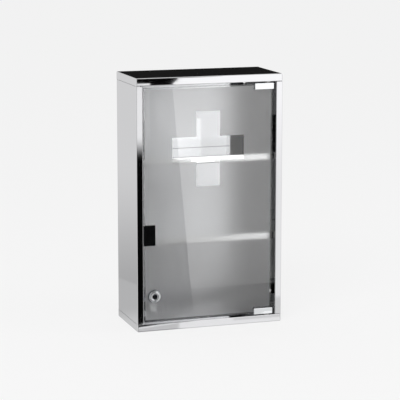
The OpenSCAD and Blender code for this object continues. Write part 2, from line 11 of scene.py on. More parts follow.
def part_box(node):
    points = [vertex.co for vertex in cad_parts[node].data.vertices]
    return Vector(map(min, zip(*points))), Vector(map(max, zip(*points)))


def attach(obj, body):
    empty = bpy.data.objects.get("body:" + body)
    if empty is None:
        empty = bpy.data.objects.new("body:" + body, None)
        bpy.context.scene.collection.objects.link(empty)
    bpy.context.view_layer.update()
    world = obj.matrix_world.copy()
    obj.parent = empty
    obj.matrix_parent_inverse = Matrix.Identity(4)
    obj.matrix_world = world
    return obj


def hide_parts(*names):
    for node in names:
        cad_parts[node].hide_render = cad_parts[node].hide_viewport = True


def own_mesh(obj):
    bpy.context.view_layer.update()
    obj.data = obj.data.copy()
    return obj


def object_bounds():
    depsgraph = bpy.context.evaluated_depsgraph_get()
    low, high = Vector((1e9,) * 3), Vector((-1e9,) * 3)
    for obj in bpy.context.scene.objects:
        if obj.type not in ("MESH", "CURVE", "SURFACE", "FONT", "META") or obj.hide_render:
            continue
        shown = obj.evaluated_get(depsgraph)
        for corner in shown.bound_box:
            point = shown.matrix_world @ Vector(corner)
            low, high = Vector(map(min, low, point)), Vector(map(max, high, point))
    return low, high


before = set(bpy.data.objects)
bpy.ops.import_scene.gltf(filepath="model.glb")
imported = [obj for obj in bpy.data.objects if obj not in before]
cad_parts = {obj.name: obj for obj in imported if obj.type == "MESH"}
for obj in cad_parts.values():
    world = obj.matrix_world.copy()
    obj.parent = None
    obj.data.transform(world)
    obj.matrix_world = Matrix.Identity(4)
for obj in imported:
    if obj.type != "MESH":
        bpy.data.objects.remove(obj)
CAD_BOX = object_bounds()
BOX = {name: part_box(name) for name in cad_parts}
# Half the cabinet's width, its rear face, and the heights of the seams between its panels and its caps
HALF, REAR = CAD_BOX[1].x, BOX["back_panel"][1].y
SEAMS = (BOX["bottom_cap"][1].z, BOX["top_cap"][0].z)

bl_info = {
    "name": "Lockable medicine cabinet",
    "version": (1, 0, 0),
    "blender": (4, 5, 0),
    "location": "View3D > Sidebar > Cabinet",
    "description": "Builds a polished steel wall cabinet with a frosted, lockable glass door",
    "category": "Object",
}

MM = 0.001
X, Y, Z = 0, 1, 2
# The two other axes, in the order in which an outline gives them
ACROSS = {X: (Y, Z), Y: (X, Z), Z: (X, Y)}
WHITE = (1, 1, 1, 1)
# Points nearer than this are one point
TOUCH = 0.001 * MM
# How far a piece may reach past the box of its CAD node
BOX_SLACK = 0.4 * MM
# Side of the square on which the lock's cam sits
CAM_SQUARE = 6 * MM


# ---------------------------------------------------------------- colours and nodes


def linear(code):
    """Linear red, green and blue of an sRGB hex colour."""
    parts = [int(code[i : i + 2], 16) / 255 for i in (1, 3, 5)]
    return [c / 12.92 if c <= 0.04045 else ((c + 0.055) / 1.055) ** 2.4 for c in parts]


def rgba(colour):
    return (*colour[:3], 1.0)


def add_node(tree, kind, links=None, **settings):
    """Adds a node with its settings; links gives each named input a value or another node's output."""
    made = tree.nodes.new(kind)
    for name, value in settings.items():
        setattr(made, name, value)
    for key, value in (links or {}).items():
        if isinstance(value, bpy.types.NodeSocket):
            tree.links.new(value, made.inputs[key])
        else:
            made.inputs[key].default_value = value
    return made


def new_material(name):
    """Empty node material with its output."""
    made = bpy.data.materials.new(name)
    made.use_nodes = True
    made.node_tree.nodes.clear()
    return made, made.node_tree, add_node(made.node_tree, "ShaderNodeOutputMaterial")


def noise(tree, size_mm, detail=2.0):
    """Noise in object coordinates whose blobs are size_mm wide."""
    coords = add_node(tree, "ShaderNodeTexCoord")
    values = {"Vector": coords.outputs["Object"], "Scale": 1 / (size_mm * MM), "Detail": detail}
    return add_node(tree, "ShaderNodeTexNoise", values).outputs["Fac"]


def ranged(tree, value, start, end, low, high, **settings):
    """Output of a node that turns the range from start to end into the one from low to high."""
    ends = {"Value": value, "From Min": start, "From Max": end, "To Min": low, "To Max": high}
    return add_node(tree, "ShaderNodeMapRange", ends, **settings).outputs[0]


def maths(tree, operation, first, second):
    """Node that works out one number from two."""
    return add_node(tree, "ShaderNodeMath", {0: first, 1: second}, operation=operation)


# ---------------------------------------------------------------- outlines and meshes


def rounded(points, radius, steps=6):
    """Outline with an arc of radius at every corner. radius is one number or one for each point."""
    radii = radius if isinstance(radius, (list, tuple)) else [radius] * len(points)
    made = []
    for i, (point, r) in enumerate(zip(points, radii)):
        here = Vector(point)
        if r <= 0:
            made.append(tuple(here))
            continue
        before = (Vector(points[i - 1]) - here).normalized()
        after = (Vector(points[(i + 1) % len(points)]) - here).normalized()
        half = before.angle(after) / 2
        centre = here + (before + after).normalized() * (r / math.sin(half))
        start = here + before * (r / math.tan(half)) - centre
        sweep = math.pi - 2 * half
        turn = 1 if before.x * after.y - before.y * after.x < 0 else -1
        for k in range(steps + 1):
            a = turn * sweep * k / steps
            c, s = math.cos(a), math.sin(a)
            made.append((centre.x + start.x * c - start.y * s, centre.y + start.x * s + start.y * c))
    return made


def rectangle(a0, a1, b0, b1, radius=0.0, steps=6):
    return rounded([(a0, b0), (a1, b0), (a1, b1), (a0, b1)], radius, steps)


def placed(axis, along, across):
    """Point at a place along an axis, with its two other coordinates in the order of ACROSS."""
    co = [0.0, 0.0, 0.0]
    co[axis], co[ACROSS[axis][0]], co[ACROSS[axis][1]] = along, across[0], across[1]
    return co


def prism(outline, low, high, axis, into=None):
    """Solid between two planes across an axis."""
    bm = into or bmesh.new()
    a, b = ([bm.verts.new(placed(axis, height, point)) for point in outline] for height in (low, high))
    faces = [bm.faces.new(a[::-1]), bm.faces.new(b)]
    for i in range(len(a)):
        j = (i + 1) % len(a)
        faces.append(bm.faces.new((a[i], a[j], b[j], b[i])))
    bmesh.ops.recalc_face_normals(bm, faces=faces)
    return bm


def lathe(profile, centre, axis, steps):
    """Solid turned from (radius, place along the axis) points.

    A profile that starts and ends off the axis is a closed ring.
    """
    bm = bmesh.new()
    rings = []
    for r, along in profile:
        angles = [math.tau * k / steps for k in range(1 if r < 1e-7 else steps)]
        spots = [(centre[0] + r * math.cos(a), centre[1] + r * math.sin(a)) for a in angles]
        rings.append([bm.verts.new(placed(axis, along, spot)) for spot in spots])
    pairs = list(zip(rings, rings[1:]))
    if len(rings[0]) > 1 and len(rings[-1]) > 1:
        pairs.append((rings[-1], rings[0]))
    faces = []
    for a, b in pairs:
        for k in range(steps):
            j = (k + 1) % steps
            loop = [a[k % len(a)], a[j % len(a)], b[j % len(b)], b[k % len(b)]]
            loop = [v for i, v in enumerate(loop) if v not in loop[:i]]
            if len(loop) > 2:
                faces.append(bm.faces.new(loop))
    bmesh.ops.recalc_face_normals(bm, faces=faces)
    return bm


def as_object(bm, name="working"):
    mesh = bpy.data.meshes.new(name)
    bm.to_mesh(mesh)
    bm.free()
    made = bpy.data.objects.new(name, mesh)
    bpy.context.scene.collection.objects.link(made)
    return made


def block(a0, a1, b0, b1, low, high, axis, radius=0.0, steps=6):
    """Solid with a rectangular outline between two planes across an axis."""
    return as_object(prism(rectangle(a0, a1, b0, b1, radius, steps), low, high, axis))


def turned(corners, radii, centre, axis=Y, steps=48, arc=3):
    """Turned solid whose profile has an arc at each corner, with its radius in millimetres."""
    return as_object(lathe(rounded(corners, [r * MM for r in radii], arc), centre, axis, steps))


def settle(obj):
    """Turns an object with its modifiers into a plain mesh."""
    bpy.context.view_layer.update()
    evaluated = obj.evaluated_get(bpy.context.evaluated_depsgraph_get())
    plain = bpy.data.meshes.new_from_object(evaluated)
    old = obj.data
    obj.modifiers.clear()
    obj.data = plain
    bpy.data.meshes.remove(old)
    return obj


def drop(*objs):
    for obj in objs:
        data = obj.data
        bpy.data.objects.remove(obj)
        bpy.data.meshes.remove(data)


def combine(obj, cutters, operation="DIFFERENCE"):
    """Cuts the cutters out of obj, or adds them to it, and removes them."""
    for cutter in cutters:
        change = obj.modifiers.new("combine", "BOOLEAN")
        change.solver = "EXACT"
        change.operation = operation
        change.object = cutter
    settle(obj)
    drop(*cutters)
    return obj


def pin_hole(x, y, z0, z1, r, axis, steps=40):
    return as_object(lathe([(0, z0), (r, z0), (r, z1), (0, z1)], (x, y), axis, steps))


def polish(obj, edge=0.0, steps=2, angle=40):
    """Rounds the sharp edges by edge and gives flat faces flat shading with smooth folds."""
    mesh = obj.data
    bm = bmesh.new()
    bm.from_mesh(mesh)
    bmesh.ops.remove_doubles(bm, verts=bm.verts, dist=TOUCH)
    bmesh.ops.dissolve_degenerate(bm, edges=bm.edges, dist=TOUCH)
    bmesh.ops.recalc_face_normals(bm, faces=bm.faces)
    for face in bm.faces:
        face.smooth = True
    bm.to_mesh(mesh)
    bm.free()
    if edge:
        soft = obj.modifiers.new("edges", "BEVEL")
        soft.width = edge
        soft.segments = steps
        soft.limit_method = "ANGLE"
        soft.angle_limit = math.radians(angle)
        soft.use_clamp_overlap = True
        soft.miter_outer = "MITER_ARC"
        settle(obj)
    obj.data.set_sharp_from_angle(angle=math.radians(angle))
    weighted = obj.modifiers.new("normals", "WEIGHTED_NORMAL")
    weighted.keep_sharp = True
    weighted.weight = 90
    return settle(obj)


def finish_piece(obj, name, finish, body, nodes=()):
    """Names a piece, gives it its finish and ties it to its body and to the CAD nodes that it stands for."""
    obj.name = obj.data.name = name
    obj.data.materials.clear()
    obj.data.materials.append(FINISHES[finish])
    for node in nodes:
        low, high = BOX[node]
        for k in (X, Y, Z):
            mine = [corner[k] for corner in obj.bound_box]
            if min(mine) < low[k] - BOX_SLACK or max(mine) > high[k] + BOX_SLACK:
                raise RuntimeError(f"{name} leaves the box of {node} on axis {k}")
    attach(obj, body)
    if nodes:
        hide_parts(*nodes)


def dress_node(node, finish):
    """Gives a CAD node that stays as it is its finish."""
    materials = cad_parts[node].data.materials
    materials.clear()
    materials.append(FINISHES[finish])


# ---------------------------------------------------------------- trees for what repeats or follows a path


def new_tree(name, inputs):
    """Geometry Nodes tree with its named inputs; inputs gives each one's kind of socket and default."""
    tree = bpy.data.node_groups.new(name, "GeometryNodeTree")
    tree.interface.new_socket("Geometry", in_out="INPUT", socket_type="NodeSocketGeometry")
    for label, (kind, default) in inputs.items():
        socket = tree.interface.new_socket(label, in_out="INPUT", socket_type=kind)
        if default is not None:
            socket.default_value = default
    tree.interface.new_socket("Geometry", in_out="OUTPUT", socket_type="NodeSocketGeometry")
    return tree, add_node(tree, "NodeGroupInput").outputs


def end_tree(tree, geometry, material):
    """Last nodes of every tree: instances become mesh and get their finish."""
    real = add_node(tree, "GeometryNodeRealizeInstances", {"Geometry": geometry})
    coloured = add_node(tree, "GeometryNodeSetMaterial", {"Geometry": real.outputs[0], "Material": material})
    add_node(tree, "NodeGroupOutput", {"Geometry": coloured.outputs[0]})
    return tree


def grow(tree, values, base=None):
    """Runs a tree on a base mesh and returns the plain mesh object."""
    obj = base or as_object(bmesh.new())
    change = obj.modifiers.new("grow", "NODES")
    change.node_group = tree
    for item in tree.interface.items_tree:
        if item.in_out == "INPUT" and item.name in values:
            change[item.identifier] = values[item.name]
    return settle(obj)


LENGTH, COUNT, VECTOR, FINISH = "NodeSocketFloat", "NodeSocketInt", "NodeSocketVector", "NodeSocketMaterial"


def folded_sheet_tree():
    """Sheet folded along the base mesh's line, whose corners are bent, drawn out and given its thickness.

    The attribute "share" of the line's points is their share of the bend radius.
    """
    tree, given = new_tree(
        "Folded sheet",
        {
            "Run": (VECTOR, (0, 0, 0.1)),
            "Sheet thickness": (LENGTH, 1 * MM),
            "Bend radius": (LENGTH, 2 * MM),
            "Bend steps": (COUNT, 6),
            "Finish": (FINISH, None),
        },
    )
    line = add_node(tree, "GeometryNodeMeshToCurve", {"Mesh": given["Geometry"]})
    share = add_node(tree, "GeometryNodeInputNamedAttribute", {"Name": "share"}, data_type="FLOAT")
    own = maths(tree, "MULTIPLY", given["Bend radius"], share.outputs[0])
    bent = add_node(
        tree,
        "GeometryNodeFilletCurve",
        {"Curve": line.outputs[0], "Radius": own.outputs[0], "Count": given["Bend steps"]},
        mode="POLY",
    )
    edges = add_node(tree, "GeometryNodeCurveToMesh", {"Curve": bent.outputs[0]})
    run = add_node(
        tree, "GeometryNodeExtrudeMesh",
        {"Mesh": edges.outputs[0], "Offset": given["Run"], "Offset Scale": 1.0}, mode="EDGES",
    )
    under = maths(tree, "MULTIPLY", given["Sheet thickness"], -1.0)
    wall = add_node(
        tree, "GeometryNodeExtrudeMesh",
        {"Mesh": run.outputs[0], "Offset Scale": under.outputs[0], "Individual": False}, mode="FACES",
    )
    back = add_node(tree, "GeometryNodeFlipFaces", {"Mesh": run.outputs[0]})
    both = add_node(tree, "GeometryNodeJoinGeometry")
    tree.links.new(wall.outputs[0], both.inputs[0])
    tree.links.new(back.outputs[0], both.inputs[0])
    merged = add_node(tree, "GeometryNodeMergeByDistance", {"Geometry": both.outputs[0], "Distance": TOUCH})
    return end_tree(tree, merged.outputs[0], given["Finish"])


def coil_tree():
    """Round bar along a helix: a spring, or the ridge of a thread."""
    tree, given = new_tree(
        "Coil",
        {
            "Turns": (LENGTH, 7.0),
            "Coil radius": (LENGTH, 4 * MM),
            "Coil length": (LENGTH, 30 * MM),
            "Wire radius": (LENGTH, 0.4 * MM),
            "Start": (VECTOR, (0, 0, 0)),
            "Finish": (FINISH, None),
        },
    )
    helix = add_node(
        tree,
        "GeometryNodeCurveSpiral",
        {
            "Resolution": 28, "Rotations": given["Turns"], "Start Radius": given["Coil radius"],
            "End Radius": given["Coil radius"], "Height": given["Coil length"],
        },
    )
    wire = add_node(
        tree, "GeometryNodeCurvePrimitiveCircle", {"Resolution": 10, "Radius": given["Wire radius"]}
    )
    bar = add_node(
        tree, "GeometryNodeCurveToMesh",
        {"Curve": helix.outputs[0], "Profile Curve": wire.outputs[0], "Fill Caps": True},
    )
    stood = add_node(
        tree,
        "GeometryNodeTransform",
        {"Geometry": bar.outputs[0], "Translation": given["Start"], "Rotation": (-math.pi / 2, 0, 0)},
    )
    return end_tree(tree, stood.outputs[0], given["Finish"])


def ribs_tree():
    """Row of round-ended bars, one over the other, standing out of a plate."""
    tree, given = new_tree(
        "Grip ribs",
        {
            "Count": (COUNT, 3),
            "Pitch": (LENGTH, 5 * MM),
            "Rib length": (LENGTH, 13 * MM),
            "Rib height": (LENGTH, 1.6 * MM),
            "Stand-out": (LENGTH, 0.3 * MM),
            "Place": (VECTOR, (0, 0, 0)),
            "Finish": (FINISH, None),
        },
    )
    half = maths(tree, "MULTIPLY", given["Rib height"], 0.49)
    outline = add_node(
        tree, "GeometryNodeCurvePrimitiveQuadrilateral",
        {"Width": given["Rib length"], "Height": given["Rib height"]},
    )
    ends = add_node(
        tree, "GeometryNodeFilletCurve", {"Curve": outline.outputs[0], "Radius": half.outputs[0], "Count": 6},
        mode="POLY",
    )
    flat = add_node(tree, "GeometryNodeFillCurve", {"Curve": ends.outputs[0]}, mode="NGONS")
    bar = add_node(
        tree, "GeometryNodeExtrudeMesh",
        {"Mesh": flat.outputs[0], "Offset Scale": given["Stand-out"], "Individual": False}, mode="FACES",
    )
    top = add_node(
        tree, "GeometryNodeExtrudeMesh",
        {"Mesh": bar.outputs[0], "Selection": bar.outputs[1], "Offset Scale": 0.0, "Individual": False},
        mode="FACES",
    )
    crown = add_node(
        tree, "GeometryNodeScaleElements",
        {"Geometry": top.outputs[0], "Selection": top.outputs[1], "Scale": 0.86},
    )
    low = add_node(tree, "GeometryNodeFlipFaces", {"Mesh": flat.outputs[0]})
    both = add_node(tree, "GeometryNodeJoinGeometry")
    tree.links.new(crown.outputs[0], both.inputs[0])
    tree.links.new(low.outputs[0], both.inputs[0])
    merged = add_node(tree, "GeometryNodeMergeByDistance", {"Geometry": both.outputs[0], "Distance": TOUCH})
    less = maths(tree, "SUBTRACT", given["Count"], 1.0)
    down = maths(tree, "MULTIPLY", less.outputs[0], given["Pitch"])
    lowest = maths(tree, "MULTIPLY", down.outputs[0], -0.5)
    start = add_node(tree, "ShaderNodeCombineXYZ", {"Y": lowest.outputs[0]})
    step = add_node(tree, "ShaderNodeCombineXYZ", {"Y": given["Pitch"]})
    row = add_node(
        tree, "GeometryNodeMeshLine",
        {"Count": given["Count"], "Start Location": start.outputs[0], "Offset": step.outputs[0]},
    )
    copies = add_node(
        tree, "GeometryNodeInstanceOnPoints", {"Points": row.outputs[0], "Instance": merged.outputs[0]}
    )
    stood = add_node(
        tree,
        "GeometryNodeTransform",
        {"Geometry": copies.outputs[0], "Translation": given["Place"], "Rotation": (math.pi / 2, 0, 0)},
    )
    return end_tree(tree, stood.outputs[0], given["Finish"])


def screws_tree():
    """Row of screws with a round head, a socket of six sides and a shank."""
    tree, given = new_tree(
        "Socket screws",
        {
            "Count": (COUNT, 2),
            "Step": (VECTOR, (0.011, 0, 0)),
            "Head radius": (LENGTH, 2 * MM),
            "Head height": (LENGTH, 2 * MM),
            "Shank radius": (LENGTH, 1.5 * MM),
            "Shank length": (LENGTH, 4 * MM),
            "Socket radius": (LENGTH, 1.15 * MM),
            "Socket depth": (LENGTH, 1.2 * MM),
            "Turn": (VECTOR, (0, 0, 0)),
            "Place": (VECTOR, (0, 0, 0)),
            "Finish": (FINISH, None),
        },
    )
    head = add_node(
        tree, "GeometryNodeMeshCylinder",
        {"Vertices": 32, "Radius": given["Head radius"], "Depth": given["Head height"]},
    )
    up = maths(tree, "MULTIPLY", given["Head height"], 0.5)
    at_up = add_node(tree, "ShaderNodeCombineXYZ", {"Z": up.outputs[0]})
    head_up = add_node(
        tree, "GeometryNodeTransform", {"Geometry": head.outputs[0], "Translation": at_up.outputs[0]}
    )
    shank = add_node(
        tree, "GeometryNodeMeshCylinder",
        {"Vertices": 24, "Radius": given["Shank radius"], "Depth": given["Shank length"]},
    )
    down = maths(tree, "MULTIPLY", given["Shank length"], -0.49)
    at_down = add_node(tree, "ShaderNodeCombineXYZ", {"Z": down.outputs[0]})
    shank_down = add_node(
        tree, "GeometryNodeTransform", {"Geometry": shank.outputs[0], "Translation": at_down.outputs[0]}
    )
    solid = add_node(tree, "GeometryNodeMeshBoolean", operation="UNION", solver="EXACT")
    tree.links.new(head_up.outputs[0], solid.inputs[1])
    tree.links.new(shank_down.outputs[0], solid.inputs[1])
    twice = maths(tree, "MULTIPLY", given["Socket depth"], 2.0)
    socket = add_node(
        tree, "GeometryNodeMeshCylinder",
        {"Vertices": 6, "Radius": given["Socket radius"], "Depth": twice.outputs[0]},
    )
    at_top = add_node(tree, "ShaderNodeCombineXYZ", {"Z": given["Head height"]})
    socket_up = add_node(
        tree, "GeometryNodeTransform", {"Geometry": socket.outputs[0], "Translation": at_top.outputs[0]}
    )
    screw = add_node(
        tree, "GeometryNodeMeshBoolean", {0: solid.outputs[0]}, operation="DIFFERENCE", solver="EXACT"
    )
    tree.links.new(socket_up.outputs[0], screw.inputs[1])
    aimed = add_node(tree, "GeometryNodeTransform", {"Geometry": screw.outputs[0], "Rotation": given["Turn"]})
    row = add_node(
        tree, "GeometryNodeMeshLine",
        {"Count": given["Count"], "Start Location": given["Place"], "Offset": given["Step"]},
    )
    copies = add_node(
        tree, "GeometryNodeInstanceOnPoints", {"Points": row.outputs[0], "Instance": aimed.outputs[0]}
    )
    return end_tree(tree, copies.outputs[0], given["Finish"])


def folded(points, axis, low, high, thickness, radius, steps, finish, shares=None):
    """Folded sheet whose outer face follows points, from plane low to plane high of an axis.

    shares gives each point's share of the fold radius where the folds differ.
    """
    bm = bmesh.new()
    share = bm.verts.layers.float.new("share")
    verts = []
    a, b, c = (Vector(p) for p in points[:3])
    left = (b - a).cross(c - b) > 0
    corners = list(zip(points, shares or [1.0] * len(points)))
    # The line runs so that the sheet's thickness grows inwards
    for point, part in corners[:: -1 if left != (axis == Y) else 1]:
        verts.append(bm.verts.new(placed(axis, low, point)))
        verts[-1][share] = part
    for a, b in zip(verts, verts[1:]):
        bm.edges.new((a, b))
    run = placed(axis, high - low, (0.0, 0.0))
    tree = bpy.data.node_groups.get("Folded sheet") or folded_sheet_tree()
    values = {"Run": run, "Sheet thickness": thickness, "Bend radius": radius, "Bend steps": steps}
    return grow(tree, {**values, "Finish": FINISHES[finish]}, as_object(bm))


# ---------------------------------------------------------------- sizes and colours


def length(name, description, default):
    return FloatProperty(
        name=name, description=description, default=default, unit="LENGTH", min=0.0, precision=5
    )


def colour(name, description, code):
    return FloatVectorProperty(
        name=name, description=description, default=linear(code), subtype="COLOR", size=3, min=0.0, max=1.0
    )


class ShellSizes(bpy.types.PropertyGroup):
    """Sizes of the folded box and its shelves."""

    sheet: length("Sheet", "Thickness of the sheet", 1 * MM)
    bend: length("Bend radius", "Outside radius of the folds", 2 * MM)
    front_fold: length("Front fold radius", "Radius of the folds along the front lips of the caps", 1.3 * MM)
    raw_edge: length("Raw edge", "Rounding of the sheet's cut edges", 0.22 * MM)
    cap_lip: length("Cap lip", "Depth of the lip behind a cap's front edge", 15 * MM)
    stile: length("Stile", "Width of the front stiles", 13 * MM)
    jamb: length("Jamb lip", "Depth of the lip behind a stile", 13 * MM)
    stile_fold: length("Stile fold radius", "Radius of the folds on both sides of a stile", 1.1 * MM)
    seam: length("Seam", "Gap between the panels and the caps", 0.6 * MM)
    tongue: length("Tongue", "Reach of the tongues behind the cap seams", 8 * MM)
    wall_hole: length("Wall hole", "Diameter of the wall holes", 6.5 * MM)
    bush_hole: length("Bush hole", "Diameter of the holes for the hinge bushes", 7.2 * MM)
    wall_inset: length("Wall hole inset", "Distance of the wall holes from the edges", 30 * MM)
    hem: length("Hem", "Depth of the hem under a shelf's front edge", 8 * MM)


class DoorSizes(bpy.types.PropertyGroup):
    """Sizes of the pane, its clips and its push plate."""

    corner: length("Pane corner", "Radius of the pane's corners", 2 * MM)
    arris: length("Arris", "Width of the ground edge of the pane", 0.5 * MM)
    film_gap: length(
        "Film offset", "Gap between the glass and the frosting, which keeps their faces apart", 0.03 * MM
    )
    clip_corner: length("Clip corner", "Radius of the hinge clips' corners", 1.5 * MM)
    clip_bevel: length("Clip bevel", "Bevel round the face of the hinge clips", 1.1 * MM)
    liner: length("Liner", "Thickness of the liner in the clips", 0.5 * MM)
    clip_wall: length("Clip wall", "Wall of the clips beyond the glass", 1.5 * MM)
    plate_corner: length("Plate corner", "Radius of the push plate's corners", 1.4 * MM)
    plate_bevel: length("Plate bevel", "Bevel round the face of the push plate", 0.55 * MM)
    tape: length("Tape", "Thickness of the tape between the push plate and the glass", 0.3 * MM)
    ribs: IntProperty(name="Ribs", description="Number of grip ribs on the push plate", default=3, min=0)
    rib_length: length("Rib length", "Length of a grip rib", 13 * MM)
    rib_height: length("Rib height", "Height of a grip rib", 1.6 * MM)
    rib_pitch: length("Rib pitch", "Distance between the grip ribs", 5 * MM)
    rib_out: length("Rib stand-out", "How far the grip ribs stand out", 0.3 * MM)


class LockSizes(bpy.types.PropertyGroup):
    """Sizes of the cam lock."""

    ring: length("Ring", "Diameter of the raised ring", 19.5 * MM)
    barrel: length("Barrel", "Diameter of the barrel", 19 * MM)
    plug: length("Plug", "Diameter of the plug's head", 12 * MM)
    keyway_height: length("Keyway height", "Height of the keyway", 7 * MM)
    keyway_width: length("Keyway width", "Width of the keyway", 1.6 * MM)
    thread_pitch: length("Thread pitch", "Pitch of the barrel's thread", 1.25 * MM)


class Finishes(bpy.types.PropertyGroup):
    """Colours of the finishes."""

    steel: colour("Polished steel", "Mirror-polished stainless sheet", "#dddddf")
    rear: colour("Rear sheet", "Plainer polish of the rear sheet", "#cbccce")
    # Dark grey of the seam tongues: painted shade for the gaps between the panels and the caps
    shelf: colour("Shelf steel", "Bright polish of the shelves", "#eceded")
    mill: colour("Seam shade mill steel", "Unpolished sheet", "#8d8f91")
    chrome: colour("Chrome", "Bright chrome plate", "#eceef0")
    zinc: colour("Zinc", "Zinc-plated small steel", "#c4c8cb")
    pale: colour("Pale zinc", "Dull zinc plate of the cam", "#eceeef")
    spring: colour("Spring steel", "Drawn spring wire", "#a9acb0")
    glass: colour("Glass", "Clear float glass", "#fdfdfd")
    frosting: colour("Frosting", "Frosting film", "#ffffff")
    paint: colour("Black paint", "Baked black enamel", "#060607")
    nylon: colour("Nylon", "White moulded nylon", "#e8e6e0")
    grey: colour("Grey plastic", "Grey moulded ABS", "#b4b7b9")
    dark: colour("Dark plastic", "Dark moulded acetal", "#2b2d2f")
    rubber: colour("Rubber", "Black rubber", "#161718")
    tape: colour("Tape", "White foam tape", "#d9d9d5")


class StageSettings(bpy.types.PropertyGroup):
    """Camera, lamps and background."""

    azimuth: FloatProperty(
        name="Azimuth", description="Turn of the camera round the cabinet", default=math.radians(18.31),
        subtype="ANGLE",
    )
    elevation: FloatProperty(
        name="Elevation", description="Downward tilt of the camera", default=math.radians(10.25),
        subtype="ANGLE",
    )
    eye: FloatVectorProperty(
        name="Eye", description="Place of the camera", default=(-1.0683, -3.2334, 0.8598),
        subtype="TRANSLATION", unit="LENGTH",
    )
    lens: FloatProperty(
        name="Lens", description="Focal length on a 36 mm sensor", default=155.7, unit="CAMERA"
    )
    ground: colour("Ground", "Floor and background", "#f5f5f5")
    fill: FloatProperty(
        name="Fill", description="Strength of the even light from all sides", default=0.8, min=0.0
    )
    key: FloatProperty(name="Key", description="Power of the large soft lamp in watts", default=38.0, min=0.0)


GROUPS = {
    "cabinet_shell": ShellSizes, "cabinet_door": DoorSizes, "cabinet_lock": LockSizes,
    "cabinet_finish": Finishes, "cabinet_stage": StageSettings,
}


# ---------------------------------------------------------------- finishes


def polished_metal(name, code, rough, wave_mm, wave_depth_mm, metallic=1.0):
    """Metal with faint waves in its reflections and cloudy roughness."""
    made, tree, out = new_material(name)
    waves = noise(tree, wave_mm, 1.0)
    swell = add_node(
        tree, "ShaderNodeBump", {"Height": waves, "Strength": 1.0, "Distance": wave_depth_mm * MM}
    )
    cloudy = ranged(tree, noise(tree, 45, 3.0), 0.3, 0.7, *rough)
    shader = add_node(
        tree,
        "ShaderNodeBsdfPrincipled",
        {"Base Color": rgba(code), "Metallic": metallic, "Roughness": cloudy, "Normal": swell.outputs[0]},
    )
    tree.links.new(shader.outputs[0], out.inputs["Surface"])
    return made


def moulded(name, code, rough, grain_mm, depth_mm, ior):
    """Plastic, rubber or paint: a fine grain in the skin and a roughness that isn't quite even."""
    made, tree, out = new_material(name)
    skin = add_node(
        tree, "ShaderNodeBump",
        {"Height": noise(tree, grain_mm, 3.0), "Strength": 1.0, "Distance": depth_mm * MM},
    )
    cloudy = ranged(tree, noise(tree, 12), 0.3, 0.7, rough * 0.85, rough * 1.15)
    shader = add_node(
        tree,
        "ShaderNodeBsdfPrincipled",
        {"Base Color": rgba(code), "Roughness": cloudy, "IOR": ior, "Normal": skin.outputs[0]},
    )
    tree.links.new(shader.outputs[0], out.inputs["Surface"])
    return made


def let_lamps_through(tree, shader, tint, out):
    """Lamps shine through the surface, so that they light what is behind it."""
    path = add_node(tree, "ShaderNodeLightPath")
    open_way = add_node(tree, "ShaderNodeBsdfTransparent", {"Color": tint})
    mixed = add_node(
        tree, "ShaderNodeMixShader", {0: path.outputs["Is Shadow Ray"], 1: shader, 2: open_way.outputs[0]}
    )
    tree.links.new(mixed.outputs[0], out.inputs["Surface"])


def float_glass(code):
    """Toughened float glass: colourless, smooth as poured, with a sharp, weak reflection."""
    made, tree, out = new_material("Toughened float glass")
    shader = add_node(
        tree, "ShaderNodeBsdfPrincipled",
        {"Base Color": rgba(code), "Roughness": 0.0, "IOR": 1.52, "Transmission Weight": 1.0},
    )
    let_lamps_through(tree, shader.outputs[0], rgba(linear("#f4f4f4")), out)
    return made


def frosting(code):
    """Frosting film: a fine matt grain that blurs what lies behind it and is greyed by the light on it."""
    made, tree, out = new_material("Frosting film")
    grain = add_node(
        tree, "ShaderNodeBump", {"Height": noise(tree, 0.9), "Strength": 0.35, "Distance": 0.02 * MM}
    )
    blur = add_node(
        tree,
        "ShaderNodeBsdfPrincipled",
        {
            "Base Color": rgba(code), "Roughness": 0.5, "IOR": 1.3, "Transmission Weight": 1.0,
            "Normal": grain.outputs[0],
        },
    )
    glow = add_node(tree, "ShaderNodeBsdfTranslucent", {"Color": rgba(linear("#cacaca"))})
    matt = add_node(tree, "ShaderNodeBsdfDiffuse", {"Color": rgba(linear("#e4e4e4"))})
    milk = add_node(tree, "ShaderNodeMixShader", {0: 0.75, 1: glow.outputs[0], 2: matt.outputs[0]})
    film = add_node(tree, "ShaderNodeMixShader", {0: 0.05, 1: blur.outputs[0], 2: milk.outputs[0]})
    let_lamps_through(tree, film.outputs[0], rgba(linear("#d8d8d8")), out)
    return made


FINISHES = {}


